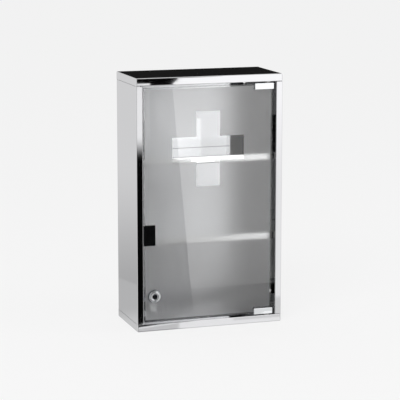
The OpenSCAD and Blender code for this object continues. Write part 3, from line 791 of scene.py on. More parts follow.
def make_finishes(c):
    """All finishes by the name of what they are."""
    FINISHES.update(
        # Mirror-polished 304 stainless sheet: near-perfect reflections that swell a little between the folds
        polished=polished_metal("Polished stainless steel", c.steel, (0.03, 0.055), 160, 0.05),
        # The rear sheet's plainer polish, a little greyer and softer
        rear=polished_metal("Rear stainless sheet", c.rear, (0.05, 0.085), 120, 0.05),
        # The shelves' bright polish
        shelf=polished_metal("Bright stainless shelves", c.shelf, (0.05, 0.08), 90, 0.03),
        # Unpolished sheet of the tongues behind the seams, darkened to a dull grey as painted shade for the
        # seam gaps
        mill=polished_metal("Mill steel darkened as seam shade", c.mill, (0.45, 0.6), 8, 0.02),
        # Chrome plate on zinc castings: the sharpest and brightest reflections on the cabinet
        chrome=polished_metal("Chrome plate", c.chrome, (0.02, 0.035), 20, 0.002),
        # Zinc plate on pressed steel: a cloudy, slightly bluish grey
        zinc=polished_metal("Zinc plate", c.zinc, (0.24, 0.36), 6, 0.01),
        # Thick dull passivated zinc of the stamped cam: a pale, chalky grey that is only half a mirror
        pale=polished_metal("Pale zinc plate", c.pale, (0.5, 0.62), 6, 0.01, metallic=0.5),
        # Drawn wire with fine lines along it
        wire=polished_metal("Spring wire", c.spring, (0.2, 0.3), 3, 0.004),
        # Turned steel of the pivot pins
        turned=polished_metal("Turned steel", c.zinc, (0.12, 0.18), 8, 0.002),
        # Nickel plate of the magnet
        nickel=polished_metal("Nickel plate", c.spring, (0.15, 0.22), 4, 0.003),
        # Clear glass and the frosting on its rear face
        glass=float_glass(c.glass),
        frost=frosting(c.frosting),
        # Baked enamel on the push plate: deep black with a soft gloss and a trace of orange peel
        enamel=moulded("Black enamel", c.paint, 0.14, 1.6, 0.003, ior=1.45),
        # Nylon of the bushes: white, dull and slightly waxy
        nylon=moulded("Moulded nylon", c.nylon, 0.5, 0.5, 0.01, ior=1.53),
        # The latch's grey casing, with a fine spark-eroded grain
        grey=moulded("Moulded ABS", c.grey, 0.45, 0.6, 0.012, ior=1.54),
        # The latch's plunger: near black, a little smoother
        dark=moulded("Moulded acetal", c.dark, 0.4, 0.6, 0.01, ior=1.48),
        # Liners and lock gasket: black, almost without a highlight
        rubber=moulded("Black rubber", c.rubber, 0.75, 0.4, 0.015, ior=1.52),
        # Foam tape: chalky white
        tape=moulded("Foam tape", c.tape, 0.9, 0.3, 0.02, ior=1.45),
    )


# ---------------------------------------------------------------- cabinet pieces


def upside(z):
    """Height of a point of the lower part in its twin at the top."""
    return CAD_BOX[1].z - z


def middle(node):
    """Middle of a CAD node's box."""
    low, high = BOX[node]
    return (low + high) / 2


def half_width(node):
    low, high = BOX[node]
    return (high.x - low.x) / 2


def cap_skin(s, low, high):
    """Outer face of a cap drawn as the bottom one: floor, four flanges and the lip folded back in front."""
    h = high.z - low.z
    bm = bmesh.new()
    bmesh.ops.create_cube(bm, size=1.0)
    centre, size = (low + high) / 2, high - low
    for v in bm.verts:
        v.co = Vector((centre.x + v.co.x * size.x, centre.y + v.co.y * size.y, h if v.co.z > 0 else 0.0))
    bmesh.ops.delete(bm, geom=[f for f in bm.faces if f.normal.z > 0.5], context="FACES_ONLY")
    folds = [e for e in bm.edges if not e.is_boundary]
    bmesh.ops.bevel(bm, geom=folds, offset=s.bend, segments=6, profile=0.5, affect="EDGES")

    def in_front(edge):
        near = all(abs(v.co.z - h) < TOUCH and abs(v.co.y - low.y) < TOUCH for v in edge.verts)
        return edge.is_boundary and near and edge.calc_length() > size.x / 2

    front = [e for e in bm.edges if in_front(e)]
    made = bmesh.ops.extrude_edge_only(bm, edges=front)["geom"]
    for v in (g for g in made if isinstance(g, bmesh.types.BMVert)):
        v.co.y += s.cap_lip
    bm.normal_update()
    folded_edge = [e for e in front if e.is_valid and len(e.link_faces) == 2]
    bmesh.ops.bevel(bm, geom=folded_edge, offset=s.front_fold, segments=5, profile=0.5, affect="EDGES")
    bmesh.ops.recalc_face_normals(bm, faces=bm.faces)
    floor = next(f for f in bm.faces if abs(abs(f.normal.z) - 1) < 1e-4 and f.calc_center_median().z < 1e-5)
    if floor.normal.z > 0:
        bmesh.ops.reverse_faces(bm, faces=bm.faces)
    return bm


def add_cap(s, name, node, top):
    """Cap with the hole for its hinge bush; the top one is the bottom one turned over."""
    low, high = BOX[node]
    bm = cap_skin(s, low, high)
    if top:
        bmesh.ops.transform(bm, matrix=Matrix.Scale(-1, 4, (0, 0, 1)), verts=bm.verts)
        bmesh.ops.translate(bm, vec=(0, 0, CAD_BOX[1].z), verts=bm.verts)
        bmesh.ops.reverse_faces(bm, faces=bm.faces)
    obj = as_object(bm)
    wall = obj.modifiers.new("wall", "SOLIDIFY")
    wall.thickness = s.sheet
    wall.offset = -1
    wall.use_even_offset = True
    settle(obj)
    bush = middle("lower_hinge_bush")
    lip = high.z - low.z
    z0, z1 = lip - 3 * MM, lip + 2 * MM
    if top:
        z0, z1 = upside(z1), upside(z0)
    combine(obj, [pin_hole(bush.x, bush.y, z0, z1, s.bush_hole / 2, Z)])
    polish(obj, s.raw_edge)
    finish_piece(obj, name, "polished", "cabinet", [node])


def add_tongues(name, outlines, low, high, axis):
    """Strips that join a panel to the caps behind the seams; their dark grey is painted shade for the seam
    gaps.
    """
    bm = bmesh.new()
    for outline, z in outlines:
        prism(outline, low + z, high + z, axis, into=bm)
    finish_piece(polish(as_object(bm)), name + "_tongues", "mill", "cabinet", [])


class CABINET_OT_shell(bpy.types.Operator):
    """Builds the caps, the side panels and the back panel"""

    bl_idname = "cabinet.shell"
    bl_label = "Add shell"

    def execute(self, context):
        s = context.scene.cabinet_shell
        add_cap(s, "bottom_tray", "bottom_cap", False)
        add_cap(s, "top_tray", "top_cap", True)
        self.add_side(s, -1, "left_side", "left_side_panel")
        self.add_side(s, 1, "right_side", "right_side_panel")
        self.add_back(s)
        return {"FINISHED"}

    def add_side(self, s, side, name, node):
        """Side panel with its stile, jamb lip and rear flange; side is -1 for the left, 1 for the right."""
        front, inside, lip = BOX[node][0].y, REAR - s.sheet, HALF - s.stile
        path = [
            (-lip, front + s.jamb), (-lip, front), (-HALF, front), (-HALF, inside), (-lip - s.bend, inside)
        ]
        path = [(-x * side, y) for x, y in path]
        sharp = s.stile_fold / s.bend
        shares = [1.0, sharp, sharp, 1.0, 1.0]
        low, high = SEAMS[0] + s.seam, SEAMS[1] - s.seam
        obj = folded(path, Z, low, high, s.sheet, s.bend, 6, "polished", shares)
        polish(obj, s.raw_edge)
        finish_piece(obj, name, "polished", "cabinet", [node])
        across = sorted((side * (HALF - 2 * s.sheet), side * (HALF - s.sheet)))
        outline = rectangle(*across, front + s.cap_lip + s.sheet, inside - s.stile)
        add_tongues(name, [(outline, seam) for seam in SEAMS], -s.tongue, s.tongue, Z)

    def add_back(self, s):
        edge = HALF - s.bend
        obj = block(-edge, edge, SEAMS[0] + s.seam, SEAMS[1] - s.seam, REAR - s.sheet, REAR, Y)
        reach = HALF - s.wall_inset
        spots = [(x, z) for x in (-reach, reach) for z in (s.wall_inset, upside(s.wall_inset))]
        combine(obj, [pin_hole(x, z, REAR - 4 * MM, REAR + 2 * MM, s.wall_hole / 2, Y) for x, z in spots])
        polish(obj, s.raw_edge)
        finish_piece(obj, "rear_sheet", "rear", "cabinet", ["back_panel"])
        side = HALF - s.stile
        outlines = [(rectangle(-side, side, seam - s.tongue, seam + s.tongue), 0.0) for seam in SEAMS]
        add_tongues("rear_sheet", outlines, REAR - 2 * s.sheet, REAR - s.sheet, Y)


class CABINET_OT_shelves(bpy.types.Operator):
    """Builds the two folded shelves and the angles that carry them"""

    bl_idname = "cabinet.shelves"
    bl_label = "Add shelves"

    def execute(self, context):
        s = context.scene.cabinet_shell
        for name, node in (("shelf_top", "upper_shelf"), ("shelf_bottom", "lower_shelf")):
            low, high = BOX[node]
            path = [(low.y + s.hem, low.z), (low.y, low.z), (low.y, high.z), (high.y, high.z)]
            path.append((high.y, low.z + s.bend))
            obj = folded(path, X, low.x, high.x, s.sheet, s.bend, 6, "shelf")
            if node == "lower_shelf":
                x, ys = latch_screw_places()
                combine(obj, [pin_hole(x, y, high.z - 4 * MM, high.z + 2 * MM, 1.55 * MM, Z) for y in ys])
            polish(obj, s.raw_edge)
            finish_piece(obj, name, "shelf", "cabinet", [node])
        for node in ("upper_left_ledge", "upper_right_ledge", "lower_left_ledge", "lower_right_ledge"):
            low, high = BOX[node]
            wall, free = (low.x, high.x) if "left" in node else (high.x, low.x)
            path = [(wall, low.z), (wall, high.z), (free, high.z)]
            obj = folded(path, Y, low.y, high.y, s.sheet, 1.5 * MM, 4, "polished")
            polish(obj, s.raw_edge)
            angle = node.replace("ledge", "angle")
            finish_piece(obj, angle, "polished", "cabinet", [node])
        return {"FINISHED"}


class CABINET_OT_pivots(bpy.types.Operator):
    """Builds the nylon bushes in the caps and the steel pins that turn in them"""

    bl_idname = "cabinet.pivots"
    bl_label = "Add pivots"

    def execute(self, context):
        for end, seam in (("upper", SEAMS[1]), ("lower", SEAMS[0])):
            node = end + "_hinge_bush"
            low, high = BOX[node]
            centre = middle(node).xy
            near, far = (low.z, high.z) if end == "upper" else (high.z, low.z)
            bore, shank, flange = 2.05 * MM, 3.55 * MM, half_width(node)
            corners = [(bore, near), (flange, near), (flange, seam), (shank, seam), (shank, far), (bore, far)]
            bush = polish(turned(corners, [0.2, 0.5, 0.15, 0.1, 0.4, 0.2], centre, Z))
            finish_piece(bush, end + "_bush", "nylon", "cabinet", [node])
            node = end + "_pivot_pin"
            low, high = BOX[node]
            r = half_width(node)
            corners = [(0, low.z), (r, low.z), (r, high.z), (0, high.z)]
            pin = polish(turned(corners, [0, 0.5, 0.5, 0], centre, Z, 40))
            finish_piece(pin, end + "_pin", "turned", "door", [node])
        return {"FINISHED"}


def latch_screw_places():
    """Place of the two latch screws across the cabinet, and their places along its depth."""
    low, high = BOX["latch_screws"]
    r = (high.x - low.x) / 2
    return (low.x + high.x) / 2, (low.y + r, high.y - r)


class CABINET_OT_latch(bpy.types.Operator):
    """Builds the touch latch: housing, end cap, screws, plunger, magnet and spring"""

    bl_idname = "cabinet.latch"
    bl_label = "Add touch latch"

    # Thickness of the housing's foot
    foot = 3 * MM

    def execute(self, context):
        axis = middle("latch_plunger")
        self.add_housing(axis.x, axis.z)
        self.add_screws()
        self.add_plunger((axis.x, axis.z))
        self.add_spring(axis.x, axis.z)
        return {"FINISHED"}

    def add_housing(self, x, z):
        low, high = BOX["latch_housing"]
        side = high.z - z
        right = x + side
        body = block(low.x, right, low.z, high.z, low.y, high.y, Y, 1.2 * MM, 4)
        front = BOX["lower_shelf"][0].y
        foot = block(x, high.x, front + 2 * MM, front + 26 * MM, low.z, low.z + self.foot, Z, 2 * MM, 5)
        combine(body, [foot], "UNION")
        lid_low, lid_high = BOX["latch_end_cap"]
        r = half_width("latch_end_cap")
        # Hole for the plunger's nose and the chamber behind it
        cutters = [
            pin_hole(x, z, low.y - 1 * MM, low.y + 5 * MM, 4.6 * MM, Y, 48),
            pin_hole(x, z, low.y + 3 * MM, high.y + 1 * MM, r + 0.05 * MM, Y, 48),
        ]
        screw_x, screw_ys = latch_screw_places()
        cutters += [pin_hole(screw_x, y, low.z - 1 * MM, low.z + 4 * MM, 1.6 * MM, Z) for y in screw_ys]
        # Shallow grooves moulded across the top of the housing
        left, right = x - side + 3 * MM, right - 3 * MM
        for k in (3, 4, 5, 6, 7):
            y = low.y + k * 3.2 * MM
            cutters.append(block(left, right, high.z - 0.5 * MM, high.z + 1 * MM, y, y + 1.2 * MM, Y))
        combine(body, cutters)
        polish(body, 0.35 * MM)
        finish_piece(body, "latch_body", "grey", "cabinet", ["latch_housing"])

        tip, dent = lid_high.y, lid_high.y - 0.8 * MM
        corners = [(0, lid_low.y), (r, lid_low.y), (r, tip), (2.2 * MM, tip), (2.0 * MM, dent), (0, dent)]
        lid = polish(turned(corners, [0, 0.3, 0.3, 0.15, 0.1, 0], (x, z)))
        finish_piece(lid, "latch_lid", "grey", "cabinet", ["latch_end_cap"])

    def add_screws(self):
        x, ys = latch_screw_places()
        top = BOX["latch_housing"][0].z + self.foot
        screws = grow(
            bpy.data.node_groups.get("Socket screws") or screws_tree(),
            {
                "Count": 2,
                "Step": (0, ys[1] - ys[0], 0),
                "Head radius": half_width("latch_screws"),
                "Head height": 1.5 * MM,
                "Shank radius": 1.45 * MM,
                "Shank length": top - BOX["latch_screws"][0].z,
                "Socket radius": 1.5 * MM,
                "Socket depth": 0.9 * MM,
                "Place": (x, ys[0], top),
                "Finish": FINISHES["zinc"],
            },
        )
        polish(screws, 0.25 * MM)
        finish_piece(screws, "latch_fixings", "zinc", "cabinet", ["latch_screws"])

    def add_plunger(self, at):
        low, high = BOX["latch_plunger"]
        magnet_low, magnet_high = BOX["latch_magnet"]
        m = half_width("latch_magnet")
        pocket, rod, wide, tail = m + 0.05 * MM, 4.5 * MM, 5.7 * MM, 2.5 * MM
        collar = BOX["latch_housing"][0].y + 3.3 * MM
        collar_end = collar + 2.5 * MM
        corners = [
            (0, magnet_high.y), (pocket, magnet_high.y), (pocket, low.y), (rod, low.y), (rod, collar),
            (wide, collar), (wide, collar_end), (tail, collar_end), (tail, high.y), (0, high.y),
        ]
        plunger = polish(turned(corners, [0, 0, 0.15, 0.6, 0.1, 0.3, 0.3, 0.1, 0.6, 0], at))
        finish_piece(plunger, "latch_rod", "dark", "plunger", ["latch_plunger"])
        corners = [(0, magnet_low.y), (m, magnet_low.y), (m, magnet_high.y), (0, magnet_high.y)]
        magnet = polish(turned(corners, [0, 0.25, 0.1, 0], at, Y, 40))
        finish_piece(magnet, "latch_tip", "nickel", "plunger", ["latch_magnet"])

    def add_spring(self, x, z):
        low, high = BOX["latch_spring"]
        wire = 0.4 * MM
        spring = grow(
            bpy.data.node_groups.get("Coil") or coil_tree(),
            {
                "Turns": 7.0,
                "Coil radius": half_width("latch_spring") - wire,
                "Coil length": high.y - low.y - 2 * wire,
                "Wire radius": wire,
                "Start": (x, low.y + wire, z),
                "Finish": FINISHES["wire"],
            },
        )
        polish(spring, angle=80)
        finish_piece(spring, "latch_coil", "wire", "cabinet", ["latch_spring"])
        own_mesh(spring)


# ---------------------------------------------------------------- door pieces


class CABINET_OT_pane(bpy.types.Operator):
    """Builds the pane of glass and the frosting on its rear face"""

    bl_idname = "cabinet.pane"
    bl_label = "Add pane"

    def execute(self, context):
        s = context.scene.cabinet_door
        low, high = BOX["door_glass"]
        lock = middle("lock_housing")
        r = context.scene.cabinet_lock.barrel / 2 + 0.3 * MM
        pane = block(low.x, high.x, low.z, high.z, low.y, high.y, Y, s.corner, 6)
        combine(pane, [pin_hole(lock.x, lock.z, low.y - 1 * MM, high.y + 1 * MM, r, Y, 56)])
        polish(pane, s.arris, 2)
        finish_piece(pane, "pane", "glass", "door", ["door_glass"])

        # The film keeps the CAD's outline, and its near face moves back off the glass
        bm = bmesh.new()
        bm.from_mesh(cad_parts["frosting_film"].data)
        bmesh.ops.remove_doubles(bm, verts=bm.verts, dist=TOUCH)
        bmesh.ops.dissolve_limit(bm, angle_limit=math.radians(0.5), verts=bm.verts, edges=bm.edges)
        near = BOX["frosting_film"][0].y
        for v in bm.verts:
            if v.co.y < near + 0.01 * MM:
                v.co.y = near + s.film_gap
        film = polish(as_object(bm), angle=30)
        finish_piece(film, "frosting", "frost", "door", ["frosting_film"])
        return {"FINISHED"}


def bevel_front(obj, place, width, steps):
    """Bevels the sharp edges round a piece's front face."""
    bm = bmesh.new()
    bm.from_mesh(obj.data)
    bmesh.ops.remove_doubles(bm, verts=bm.verts, dist=TOUCH)
    bm.normal_update()
    flush = [e for e in bm.edges if all(abs(v.co.y - place) < TOUCH for v in e.verts)]
    edges = [e for e in flush if len(e.link_faces) == 2 and e.calc_face_angle(0) > 0.7]
    bmesh.ops.bevel(
        bm, geom=edges, offset=width, segments=steps, profile=0.5, affect="EDGES", clamp_overlap=True
    )
    bm.to_mesh(obj.data)
    bm.free()


class CABINET_OT_clips(bpy.types.Operator):
    """Builds the two chromed clips that clamp the pane, with their set screws"""

    bl_idname = "cabinet.clips"
    bl_label = "Add hinge clips"

    def execute(self, context):
        s = context.scene.cabinet_door
        for end in ("upper", "lower"):
            self.add_clip(s, end)
            self.add_set_screws(end)
            dress_node(end + "_clip_liner", "rubber")
        return {"FINISHED"}

    def add_clip(self, s, end):
        low, high = BOX[end + "_hinge_clip"]
        glass_low, glass_high = BOX["door_glass"]
        pin_low, pin_high = BOX[end + "_pivot_pin"]
        clip = block(low.x, high.x, low.z, high.z, low.y, high.y, Y, s.clip_corner, 5)
        # The slot for the pane and the hole for the pin end in the clip and run past it on the other side
        past = 9 * MM
        if end == "upper":
            slot_low, slot_high = low.z - past, high.z - s.clip_wall
            hole_low, hole_high = pin_low.z, high.z + 1 * MM
        else:
            slot_low, slot_high = low.z + s.clip_wall, high.z + past
            hole_low, hole_high = low.z - 1 * MM, pin_high.z
        near, far = glass_low.y - s.liner, glass_high.y + s.liner
        cutters = [block(low.x - past, high.x - s.clip_wall, slot_low, slot_high, near, far, Y)]
        xs, z, r = self.screw_places(end)
        cutters += [pin_hole(x, z, glass_high.y, high.y + 1 * MM, r + 0.05 * MM, Y) for x in xs]
        pin = middle(end + "_pivot_pin")
        cutters.append(
            pin_hole(pin.x, pin.y, hole_low, hole_high, half_width(end + "_pivot_pin") + 0.02 * MM, Z)
        )
        combine(clip, cutters)
        bevel_front(clip, low.y, s.clip_bevel, 3)
        polish(clip, 0.25 * MM)
        finish_piece(clip, end + "_clip", "chrome", "door", [end + "_hinge_clip"])

    def screw_places(self, end):
        """Places of a clip's set screws across the door, their height and their radius."""
        low, high = BOX[end + "_clip_screws"]
        r = (high.z - low.z) / 2
        return (low.x + r, high.x - r), (low.z + high.z) / 2, r

    def add_set_screws(self, end):
        low, high = BOX[end + "_clip_screws"]
        xs, z, r = self.screw_places(end)
        depth = high.y - low.y
        screws = grow(
            bpy.data.node_groups.get("Socket screws") or screws_tree(),
            {
                "Count": 2,
                "Step": (xs[1] - xs[0], 0, 0),
                "Head radius": r,
                "Head height": depth * 0.7,
                "Shank radius": r * 0.8,
                "Shank length": depth * 0.3,
                "Socket radius": 1.15 * MM,
                "Socket depth": depth * 0.5,
                "Turn": (-math.pi / 2, 0, 0),
                "Place": (xs[0], low.y + depth * 0.3, z),
                "Finish": FINISHES["zinc"],
            },
        )
        polish(screws, 0.15 * MM)
        name, node = end + "_set_screws", end + "_clip_screws"
        finish_piece(screws, name, "zinc", "door", [node])


class CABINET_OT_push_plate(bpy.types.Operator):
    """Builds the black push plate with its grip ribs and its tape"""

    bl_idname = "cabinet.push_plate"
    bl_label = "Add push plate"

    def execute(self, context):
        s = context.scene.cabinet_door
        low, high = BOX["push_plate"]
        glass_low, glass_high = BOX["door_glass"]
        face, past = low.y + s.rib_out, 5 * MM
        plate = block(low.x, high.x, low.z, high.z, face, high.y, Y, s.plate_corner, 5)
        near, far = glass_low.y - s.tape, glass_high.y + s.tape
        combine(plate, [block(glass_low.x, high.x + past, low.z - past, high.z + past, near, far, Y)])
        bevel_front(plate, face, s.plate_bevel, 3)
        polish(plate, 0.2 * MM)
        finish_piece(plate, "handle_plate", "enamel", "door", ["push_plate"])
        centre = middle("push_plate")
        ribs = grow(
            bpy.data.node_groups.get("Grip ribs") or ribs_tree(),
            {
                "Count": s.ribs,
                "Pitch": s.rib_pitch,
                "Rib length": s.rib_length,
                "Rib height": s.rib_height,
                "Stand-out": s.rib_out,
                "Place": (centre.x, face, centre.z),
                "Finish": FINISHES["enamel"],
            },
        )
        finish_piece(polish(ribs), "handle_ribs", "enamel", "door", [])
        dress_node("push_plate_tape", "tape")
        return {"FINISHED"}


# ---------------------------------------------------------------- lock


class CABINET_OT_lock(bpy.types.Operator):
    """Builds the cam lock: bezel, barrel, gasket, washer, nut, plug, cam and its screw"""

    bl_idname = "cabinet.lock"
    bl_label = "Add lock"

    def execute(self, context):
        s = context.scene.cabinet_lock
        centre = middle("lock_housing")
        at = (centre.x, centre.z)
        barrel = s.barrel / 2
        self.add_housing(s, at, barrel)
        self.add_thread(s, at, barrel)
        inner = barrel + 0.05 * MM
        for name, node, finish, slot, edge in (
            ("lock_seal", "lock_gasket", "rubber", "soft_liner", 0.12),
            ("lock_shim", "lock_washer", "zinc", "zinc_steel", 0.15),
        ):
            low, high = BOX[node]
            outer = half_width(node)
            corners = [(inner, low.y), (outer, low.y), (outer, high.y), (inner, high.y)]
            ring = polish(turned(corners, [edge] * 4, at, Y, 72))
            finish_piece(ring, name, finish, "door", [node])
        self.add_nut(at, inner)
        self.add_plug(s, at)
        self.add_cam(at)
        self.add_cam_screw(at)
        return {"FINISHED"}

    def add_housing(self, s, at, barrel):
        low, high = BOX["lock_housing"]
        face, rear = low.y, high.y
        bezel, ring = half_width("lock_housing"), s.ring / 2
        step = 0.5 * MM
        flange, deep = face + step, face + 8 * MM
        seat, start = BOX["lock_gasket"][0].y, BOX["lock_washer"][0].y
        bore, tail, core = s.plug / 2 + 0.05 * MM, 5.05 * MM, barrel - 0.35 * MM
        # Between the plug and the flange stands a rounded ring, which mirrors the front twice
        middle_r, wide = (bore + ring) / 2, (ring - bore) / 2 - 0.1 * MM
        turns = [math.pi * k / 12 for k in range(13)]
        crown = [(middle_r - wide * math.cos(a), face + step * (1 - math.sin(a))) for a in turns]
        corners = [
            (bore, deep), (bore, flange), *crown, (ring + 0.2 * MM, flange + 0.2 * MM),
            (ring + 0.5 * MM, flange), (bezel, flange), (bezel, seat), (barrel, seat),
            (barrel, start), (core, start + 0.3 * MM), (core, rear), (tail, rear), (tail, deep),
        ]
        radii = [0, 0.1, *[0] * len(crown), 0, 0.2, 1.0, 0.15, 0.05, 0.1, 0.1, 0.4, 0.2, 0]
        housing = polish(turned(corners, radii, at, Y, 96, 5), angle=60)
        finish_piece(housing, "lock_bezel", "chrome", "door", ["lock_housing"])

    def add_thread(self, s, at, barrel):
        """Rounded ridge that winds along the barrel behind the glass."""
        ridge, start = 0.3 * MM, BOX["lock_washer"][0].y
        span = BOX["lock_housing"][1].y - start - 2 * ridge - 0.6 * MM
        thread = grow(
            bpy.data.node_groups.get("Coil") or coil_tree(),
            {
                "Turns": span / s.thread_pitch,
                "Coil radius": barrel - ridge - 0.05 * MM,
                "Coil length": span,
                "Wire radius": ridge,
                "Start": (at[0], start + ridge + 0.3 * MM, at[1]),
                "Finish": FINISHES["chrome"],
            },
        )
        polish(thread, angle=80)
        finish_piece(thread, "lock_thread", "chrome", "door", [])

    def add_nut(self, at, inner):
        """Six-sided nut whose corners are chamfered on both faces."""
        x, z = at
        low, high = BOX["lock_nut"]
        corner, sixth = half_width("lock_nut"), math.radians(60)
        hexagon = [(x + corner * math.cos(sixth * k), z + corner * math.sin(sixth * k)) for k in range(6)]
        nut = as_object(prism(hexagon, low.y, high.y, Y))
        chamfer, outside, hair = corner * math.cos(sixth / 2) + 0.1 * MM, corner + 1 * MM, 0.01 * MM
        fall = (outside - chamfer) * 0.55
        cone = [(0, low.y - hair), (chamfer, low.y - hair), (outside, low.y + fall)]
        cone += [(outside, high.y - fall), (chamfer, high.y + hair), (0, high.y + hair)]
        combine(nut, [as_object(lathe(cone, at, Y, 72))], "INTERSECT")
        combine(nut, [pin_hole(x, z, low.y - 1 * MM, high.y + 1 * MM, inner, Y, 72)])
        polish(nut, 0.2 * MM, angle=25)
        finish_piece(nut, "lock_ring_nut", "zinc", "door", ["lock_nut"])

    def add_plug(self, s, at):
        x, z = at
        low, high = BOX["lock_plug"]
        cam = BOX["lock_cam"][0].y
        head, tail, half = s.plug / 2, 5 * MM, CAM_SQUARE / 2
        shoulder = BOX["lock_housing"][0].y + 7.8 * MM
        corners = [(0, low.y), (head, low.y), (head, shoulder), (tail, shoulder), (tail, cam), (0, cam)]
        plug = turned(corners, [0, 0.5, 0.1, 0.1, 0.2, 0], at, Y, 72, 4)
        square = block(x - half, x + half, z - half, z + half, cam - 1 * MM, high.y, Y)
        combine(plug, [square], "UNION")
        # The keyway is a slot with a ward on each side, as in a common wafer lock
        w, h, ward = s.keyway_width / 2, s.keyway_height / 2, s.keyway_width / 2 + 0.7 * MM
        slot = [
            (-w, -h), (w, -h), (w, -h * 0.35), (ward, -h * 0.35), (ward, h * 0.1), (w, h * 0.1),
            (w, h), (-w, h), (-w, h * 0.55), (-ward, h * 0.55), (-ward, h * 0.15), (-w, h * 0.15),
        ]
        key = as_object(prism([(x + a, z + b) for a, b in slot], low.y - 1 * MM, low.y + 10 * MM, Y))
        screw = pin_hole(x, z, high.y - 3.5 * MM, high.y + 1 * MM, 1.55 * MM, Y)
        combine(plug, [key, screw])
        polish(plug, 0.12 * MM)
        finish_piece(plug, "lock_cylinder", "chrome", "lock_core", ["lock_plug"])

    def add_cam(self, at):
        x, z = at
        low, high = BOX["lock_cam"]
        r = half_width("lock_cam")
        tip = low.z + r
        half_turn = [math.pi * k / 24 for k in range(25)]
        arm = [(x + r * math.cos(a), z + r * math.sin(a)) for a in half_turn]
        arm += [(x - r * math.cos(a), tip - r * math.sin(a)) for a in half_turn]
        cam = as_object(prism(arm, low.y, high.y, Y))
        half = CAM_SQUARE / 2 + 0.05 * MM
        combine(cam, [block(x - half, x + half, z - half, z + half, low.y - 1 * MM, high.y + 1 * MM, Y)])
        polish(cam, 0.3 * MM)
        finish_piece(cam, "lock_arm", "pale", "lock_core", ["lock_cam"])

    def add_cam_screw(self, at):
        """Pan-head screw with a cross recess."""
        x, z = at
        low, high = BOX["cam_screw"]
        shank, head, seat, top = 1.5 * MM, half_width("cam_screw"), BOX["lock_cam"][1].y, high.y
        corners = [(0, low.y), (shank, low.y), (shank, seat), (head, seat), (head, top), (0, top)]
        bolt = turned(corners, [0, 0.3, 0, 0.15, 0.7, 0], at, Y, 48, 4)
        long, short = 2.4 * MM, 0.45 * MM
        spans = ((long, short), (short, long))
        combine(bolt, [block(x - u, x + u, z - v, z + v, top - 0.9 * MM, top + 1 * MM, Y) for u, v in spans])
        polish(bolt, 0.08 * MM)
        finish_piece(bolt, "lock_arm_screw", "zinc", "lock_core", ["cam_screw"])


# ---------------------------------------------------------------- stage


def flat_card(name, plane, outline, strengths, span=(0.0, 1.0), outside=True, inside=False):
    """Upright card across the depth whose light goes from one strength to another over a span of height.

    The faces outside the cabinet mirror it, or what is behind the glass does.
    """
    made, tree, out = new_material(name)
    coords = add_node(tree, "ShaderNodeTexCoord")
    parts = add_node(tree, "ShaderNodeSeparateXYZ", {0: coords.outputs["Object"]})
    power = ranged(tree, parts.outputs["Z"], *span, *strengths, interpolation_type="SMOOTHSTEP")
    glow = add_node(tree, "ShaderNodeEmission", {"Color": WHITE, "Strength": power})
    tree.links.new(glow.outputs[0], out.inputs["Surface"])
    bm = bmesh.new()
    bm.faces.new([bm.verts.new((x, plane, z)) for x, z in outline])
    card = as_object(bm, name)
    card.data.materials.append(made)
    card.visible_camera = card.visible_shadow = card.visible_diffuse = False
    card.visible_glossy, card.visible_transmission = outside, inside


def area_lamp(name, place, aim, size, power):
    data = bpy.data.lights.new(name, "AREA")
    data.shape = "RECTANGLE"
    data.size, data.size_y = size
    data.energy = power
    obj = bpy.data.objects.new(name, data)
    bpy.context.scene.collection.objects.link(obj)
    obj.location = place
    obj.rotation_euler = (Vector(aim) - Vector(place)).to_track_quat("-Z", "Y").to_euler()


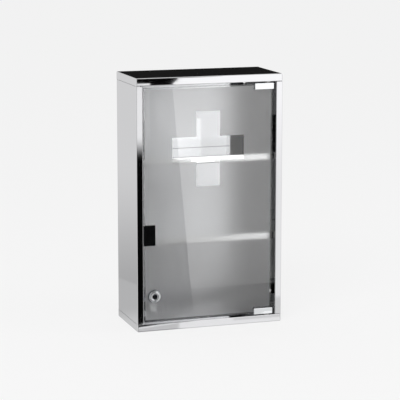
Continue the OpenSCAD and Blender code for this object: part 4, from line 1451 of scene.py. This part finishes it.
class CABINET_OT_stage(bpy.types.Operator):
    """Builds the floor, the cards that the steel mirrors, the lamps and the camera"""

    bl_idname = "cabinet.stage"
    bl_label = "Add stage"

    def execute(self, context):
        s = context.scene.cabinet_stage
        self.add_floor(s)
        self.add_world(context, s)
        self.add_cards()
        aim = (0, 0, 0.25)
        area_lamp("key", (-1.6, -2.0, 2.4), aim, (1.6, 1.6), s.key)
        area_lamp("side", (2.4, -1.2, 1.6), aim, (1.2, 1.8), s.key * 0.4)
        self.add_camera(context, s)
        context.scene.view_settings.view_transform = "Standard"
        return {"FINISHED"}

    def add_floor(self, s):
        """Matt floor that mostly glows evenly where it is seen, as the background of the photo does."""
        made, tree, out = new_material("Paper floor")
        path = add_node(tree, "ShaderNodeLightPath")
        seen = maths(tree, "MAXIMUM", path.outputs["Is Camera Ray"], path.outputs["Is Glossy Ray"])
        seen = maths(tree, "MAXIMUM", seen.outputs[0], path.outputs["Is Transmission Ray"])
        share = maths(tree, "MULTIPLY", seen.outputs[0], 0.85)
        matt = add_node(tree, "ShaderNodeBsdfDiffuse", {"Color": rgba(s.ground)})
        even = add_node(tree, "ShaderNodeEmission", {"Color": rgba(s.ground), "Strength": 1.0})
        mixed = add_node(
            tree, "ShaderNodeMixShader", {0: share.outputs[0], 1: matt.outputs[0], 2: even.outputs[0]}
        )
        tree.links.new(mixed.outputs[0], out.inputs["Surface"])
        bm = bmesh.new()
        bmesh.ops.create_grid(bm, x_segments=1, y_segments=1, size=40.0)
        floor = as_object(bm, "floor")
        floor.data.materials.append(made)
        floor.visible_glossy = floor.visible_transmission = False

    def add_world(self, context, s):
        world = bpy.data.worlds.new("Studio")
        world.use_nodes = True
        tree = world.node_tree
        tree.nodes.clear()
        path = add_node(tree, "ShaderNodeLightPath")
        fill = add_node(tree, "ShaderNodeBackground", {"Color": WHITE, "Strength": s.fill})
        seen = add_node(tree, "ShaderNodeBackground", {"Color": rgba(s.ground), "Strength": 1.0})
        # Steel and glass mirror a bright sweep in front, darker at its sides and overhead,
        # and the pale ground behind
        way = add_node(tree, "ShaderNodeTexCoord").outputs["Generated"]
        front = Vector((0.36, -0.92, -0.12)).normalized()
        heading = add_node(tree, "ShaderNodeVectorMath", {0: way, 1: front}, operation="DOT_PRODUCT")
        sweep = ranged(
            tree, heading.outputs["Value"], 0.72, 0.97, 0.15, 1.36, interpolation_type="SMOOTHSTEP"
        )
        parts = add_node(tree, "ShaderNodeSeparateXYZ", {0: way})
        behind = ranged(tree, parts.outputs["Y"], -0.35, -0.05, 0.0, 1.0)
        power = add_node(tree, "ShaderNodeMix", {0: behind, 2: sweep, 3: 0.91})
        mirrored = add_node(tree, "ShaderNodeBackground", {"Color": WHITE, "Strength": power.outputs[0]})
        bounced = maths(tree, "MAXIMUM", path.outputs["Is Glossy Ray"], path.outputs["Is Transmission Ray"])
        first = add_node(
            tree, "ShaderNodeMixShader", {0: bounced.outputs[0], 1: fill.outputs[0], 2: mirrored.outputs[0]}
        )
        second = add_node(
            tree, "ShaderNodeMixShader",
            {0: path.outputs["Is Camera Ray"], 1: first.outputs[0], 2: seen.outputs[0]},
        )
        add_node(tree, "ShaderNodeOutputWorld", {"Surface": second.outputs[0]})
        context.scene.world = world

    def add_cards(self):
        dark = (0.002, 0.002)
        left, edge, top = -0.3, 0.25, 1.6
        # Dark card behind, above the horizon, which the top mirrors
        flat_card("card_rear", 3.2, rectangle(-0.25, 4.5, 0.55, 3.2), (0.009, 0.012))
        # Black card in front, which only what lies behind the glass mirrors
        slant = [(0.292, -0.227), (0.237, 0.363), (edge, 0.387)]
        flat_card(
            "card_black", -1.069, [(-2.5, -0.722), *slant, (edge, 3.0), (-2.5, 3.0)], dark, outside=False,
            inside=True,
        )
        # Its narrower twin, which the left stile and the left of the top strip mirror
        flat_card("card_dark", -1.068, [(left, -0.332), *slant, (edge, top), (left, top)], dark)
        # Black above and below it, for the lock's ring, and to its left a white card with a grey edge
        flat_card(
            "card_above", -1.066, [(edge, 0.5), (0.32, 0.62), (0.45, 1.2), (0.45, top), (edge, top)], dark
        )
        flat_card(
            "card_below", -1.066, [(left, -1.6), (0.45, -1.6), (0.35, -0.8), (edge, -0.45), (left, -0.34)],
            dark,
        )
        flat_card("card_left", -1.066, rectangle(-3.0, left, -1.2, 3.0), (1.0, 1.0))
        flat_card("card_shade", -1.065, rectangle(-0.6, left, -1.2, 3.0), (0.12, 0.12))
        # Bright sweep behind it, which the strips and the right stile mirror
        flat_card("card_sweep", -1.08, rectangle(0.1, 1.6, -1.2, 3.0), (1.05, 1.31), (0.05, 0.42))
        # The same for what is seen through the glass, brighter, with a dark low part
        wide = rectangle(0.1, 3.5, -2.2, 3.0)
        flat_card("card_inside", -1.08, wide, (0.84, 1.72), (-0.33, 0.1), outside=False, inside=True)
        low = rectangle(0.1, 3.5, -2.2, -0.17)
        flat_card("card_low", -1.078, low, (0.1, 0.1), outside=False, inside=True)
        # Narrow white card before the black one, which makes the bright upper end of the left stile
        tip = rectangle(0.125, 0.175, 0.17, 0.37)
        flat_card("card_tip", -1.064, tip, (0.002, 1.1), (0.184, 0.242))
        # Greyer ground before the left of the bottom strip, and a grey band low on the right
        flat_card(
            "card_ground", -1.064, [(left, -0.34), (edge, -0.34), (edge, -0.243), (left, -0.335)], (0.7, 0.7)
        )
        flat_card(
            "card_band", -1.064, [(0.40, -0.257), (0.62, -0.257), (0.62, -0.203), (0.40, -0.207)], (0.8, 0.8)
        )
        # Grey sweep behind on the left, which the left side mirrors, darker towards its foot
        flat_card(
            "card_side", 1.2, [(-1.4, -0.62), (0.0, 0.03), (0.0, 1.3), (-1.4, 1.3)], (0.48, 0.775),
            (-0.25, 0.14),
        )
        foot = [(-1.4, -1.2), (0.0, -1.2), (0.0, 0.03), (-1.4, -0.62)]
        flat_card("card_side_low", 1.205, foot, (0.7, 0.56), (-0.32, -0.27))

    def add_camera(self, context, s):
        data = bpy.data.cameras.new("camera")
        data.sensor_width = 36.0
        data.lens = s.lens
        data.clip_start, data.clip_end = 0.05, 200.0
        obj = bpy.data.objects.new("camera", data)
        context.scene.collection.objects.link(obj)
        obj.location = s.eye
        obj.rotation_euler = (math.pi / 2 - s.elevation, 0.0, -s.azimuth)
        context.scene.camera = obj


# ---------------------------------------------------------------- add-on


class CABINET_OT_finishes(bpy.types.Operator):
    """Makes the materials that the pieces share"""

    bl_idname = "cabinet.finishes"
    bl_label = "Make finishes"

    def execute(self, context):
        make_finishes(context.scene.cabinet_finish)
        return {"FINISHED"}


OPERATORS = (
    CABINET_OT_finishes,
    CABINET_OT_shell,
    CABINET_OT_shelves,
    CABINET_OT_pivots,
    CABINET_OT_latch,
    CABINET_OT_pane,
    CABINET_OT_clips,
    CABINET_OT_push_plate,
    CABINET_OT_lock,
    CABINET_OT_stage,
)


class CABINET_PT_panel(bpy.types.Panel):
    """Panel that lists the pieces to add and their sizes"""

    bl_idname = "CABINET_PT_panel"
    bl_label = "Medicine cabinet"
    bl_space_type = "VIEW_3D"
    bl_region_type = "UI"
    bl_category = "Cabinet"

    def draw(self, context):
        for operator in OPERATORS:
            self.layout.operator(operator.bl_idname)
        for group in GROUPS:
            box = self.layout.box()
            for name in GROUPS[group].__annotations__:
                box.prop(getattr(context.scene, group), name)


def register():
    for group in GROUPS.values():
        bpy.utils.register_class(group)
    for name, group in GROUPS.items():
        setattr(bpy.types.Scene, name, PointerProperty(type=group))
    for operator in OPERATORS:
        bpy.utils.register_class(operator)
    bpy.utils.register_class(CABINET_PT_panel)


def unregister():
    bpy.utils.unregister_class(CABINET_PT_panel)
    for operator in reversed(OPERATORS):
        bpy.utils.unregister_class(operator)
    for name, group in GROUPS.items():
        delattr(bpy.types.Scene, name)
        bpy.utils.unregister_class(group)


def main():
    register()
    for operator in OPERATORS:
        section, call = operator.bl_idname.split(".")
        if getattr(getattr(bpy.ops, section), call)() != {"FINISHED"}:
            raise RuntimeError(f"{operator.bl_idname} didn't finish")


if __name__ == "__main__":
    main()
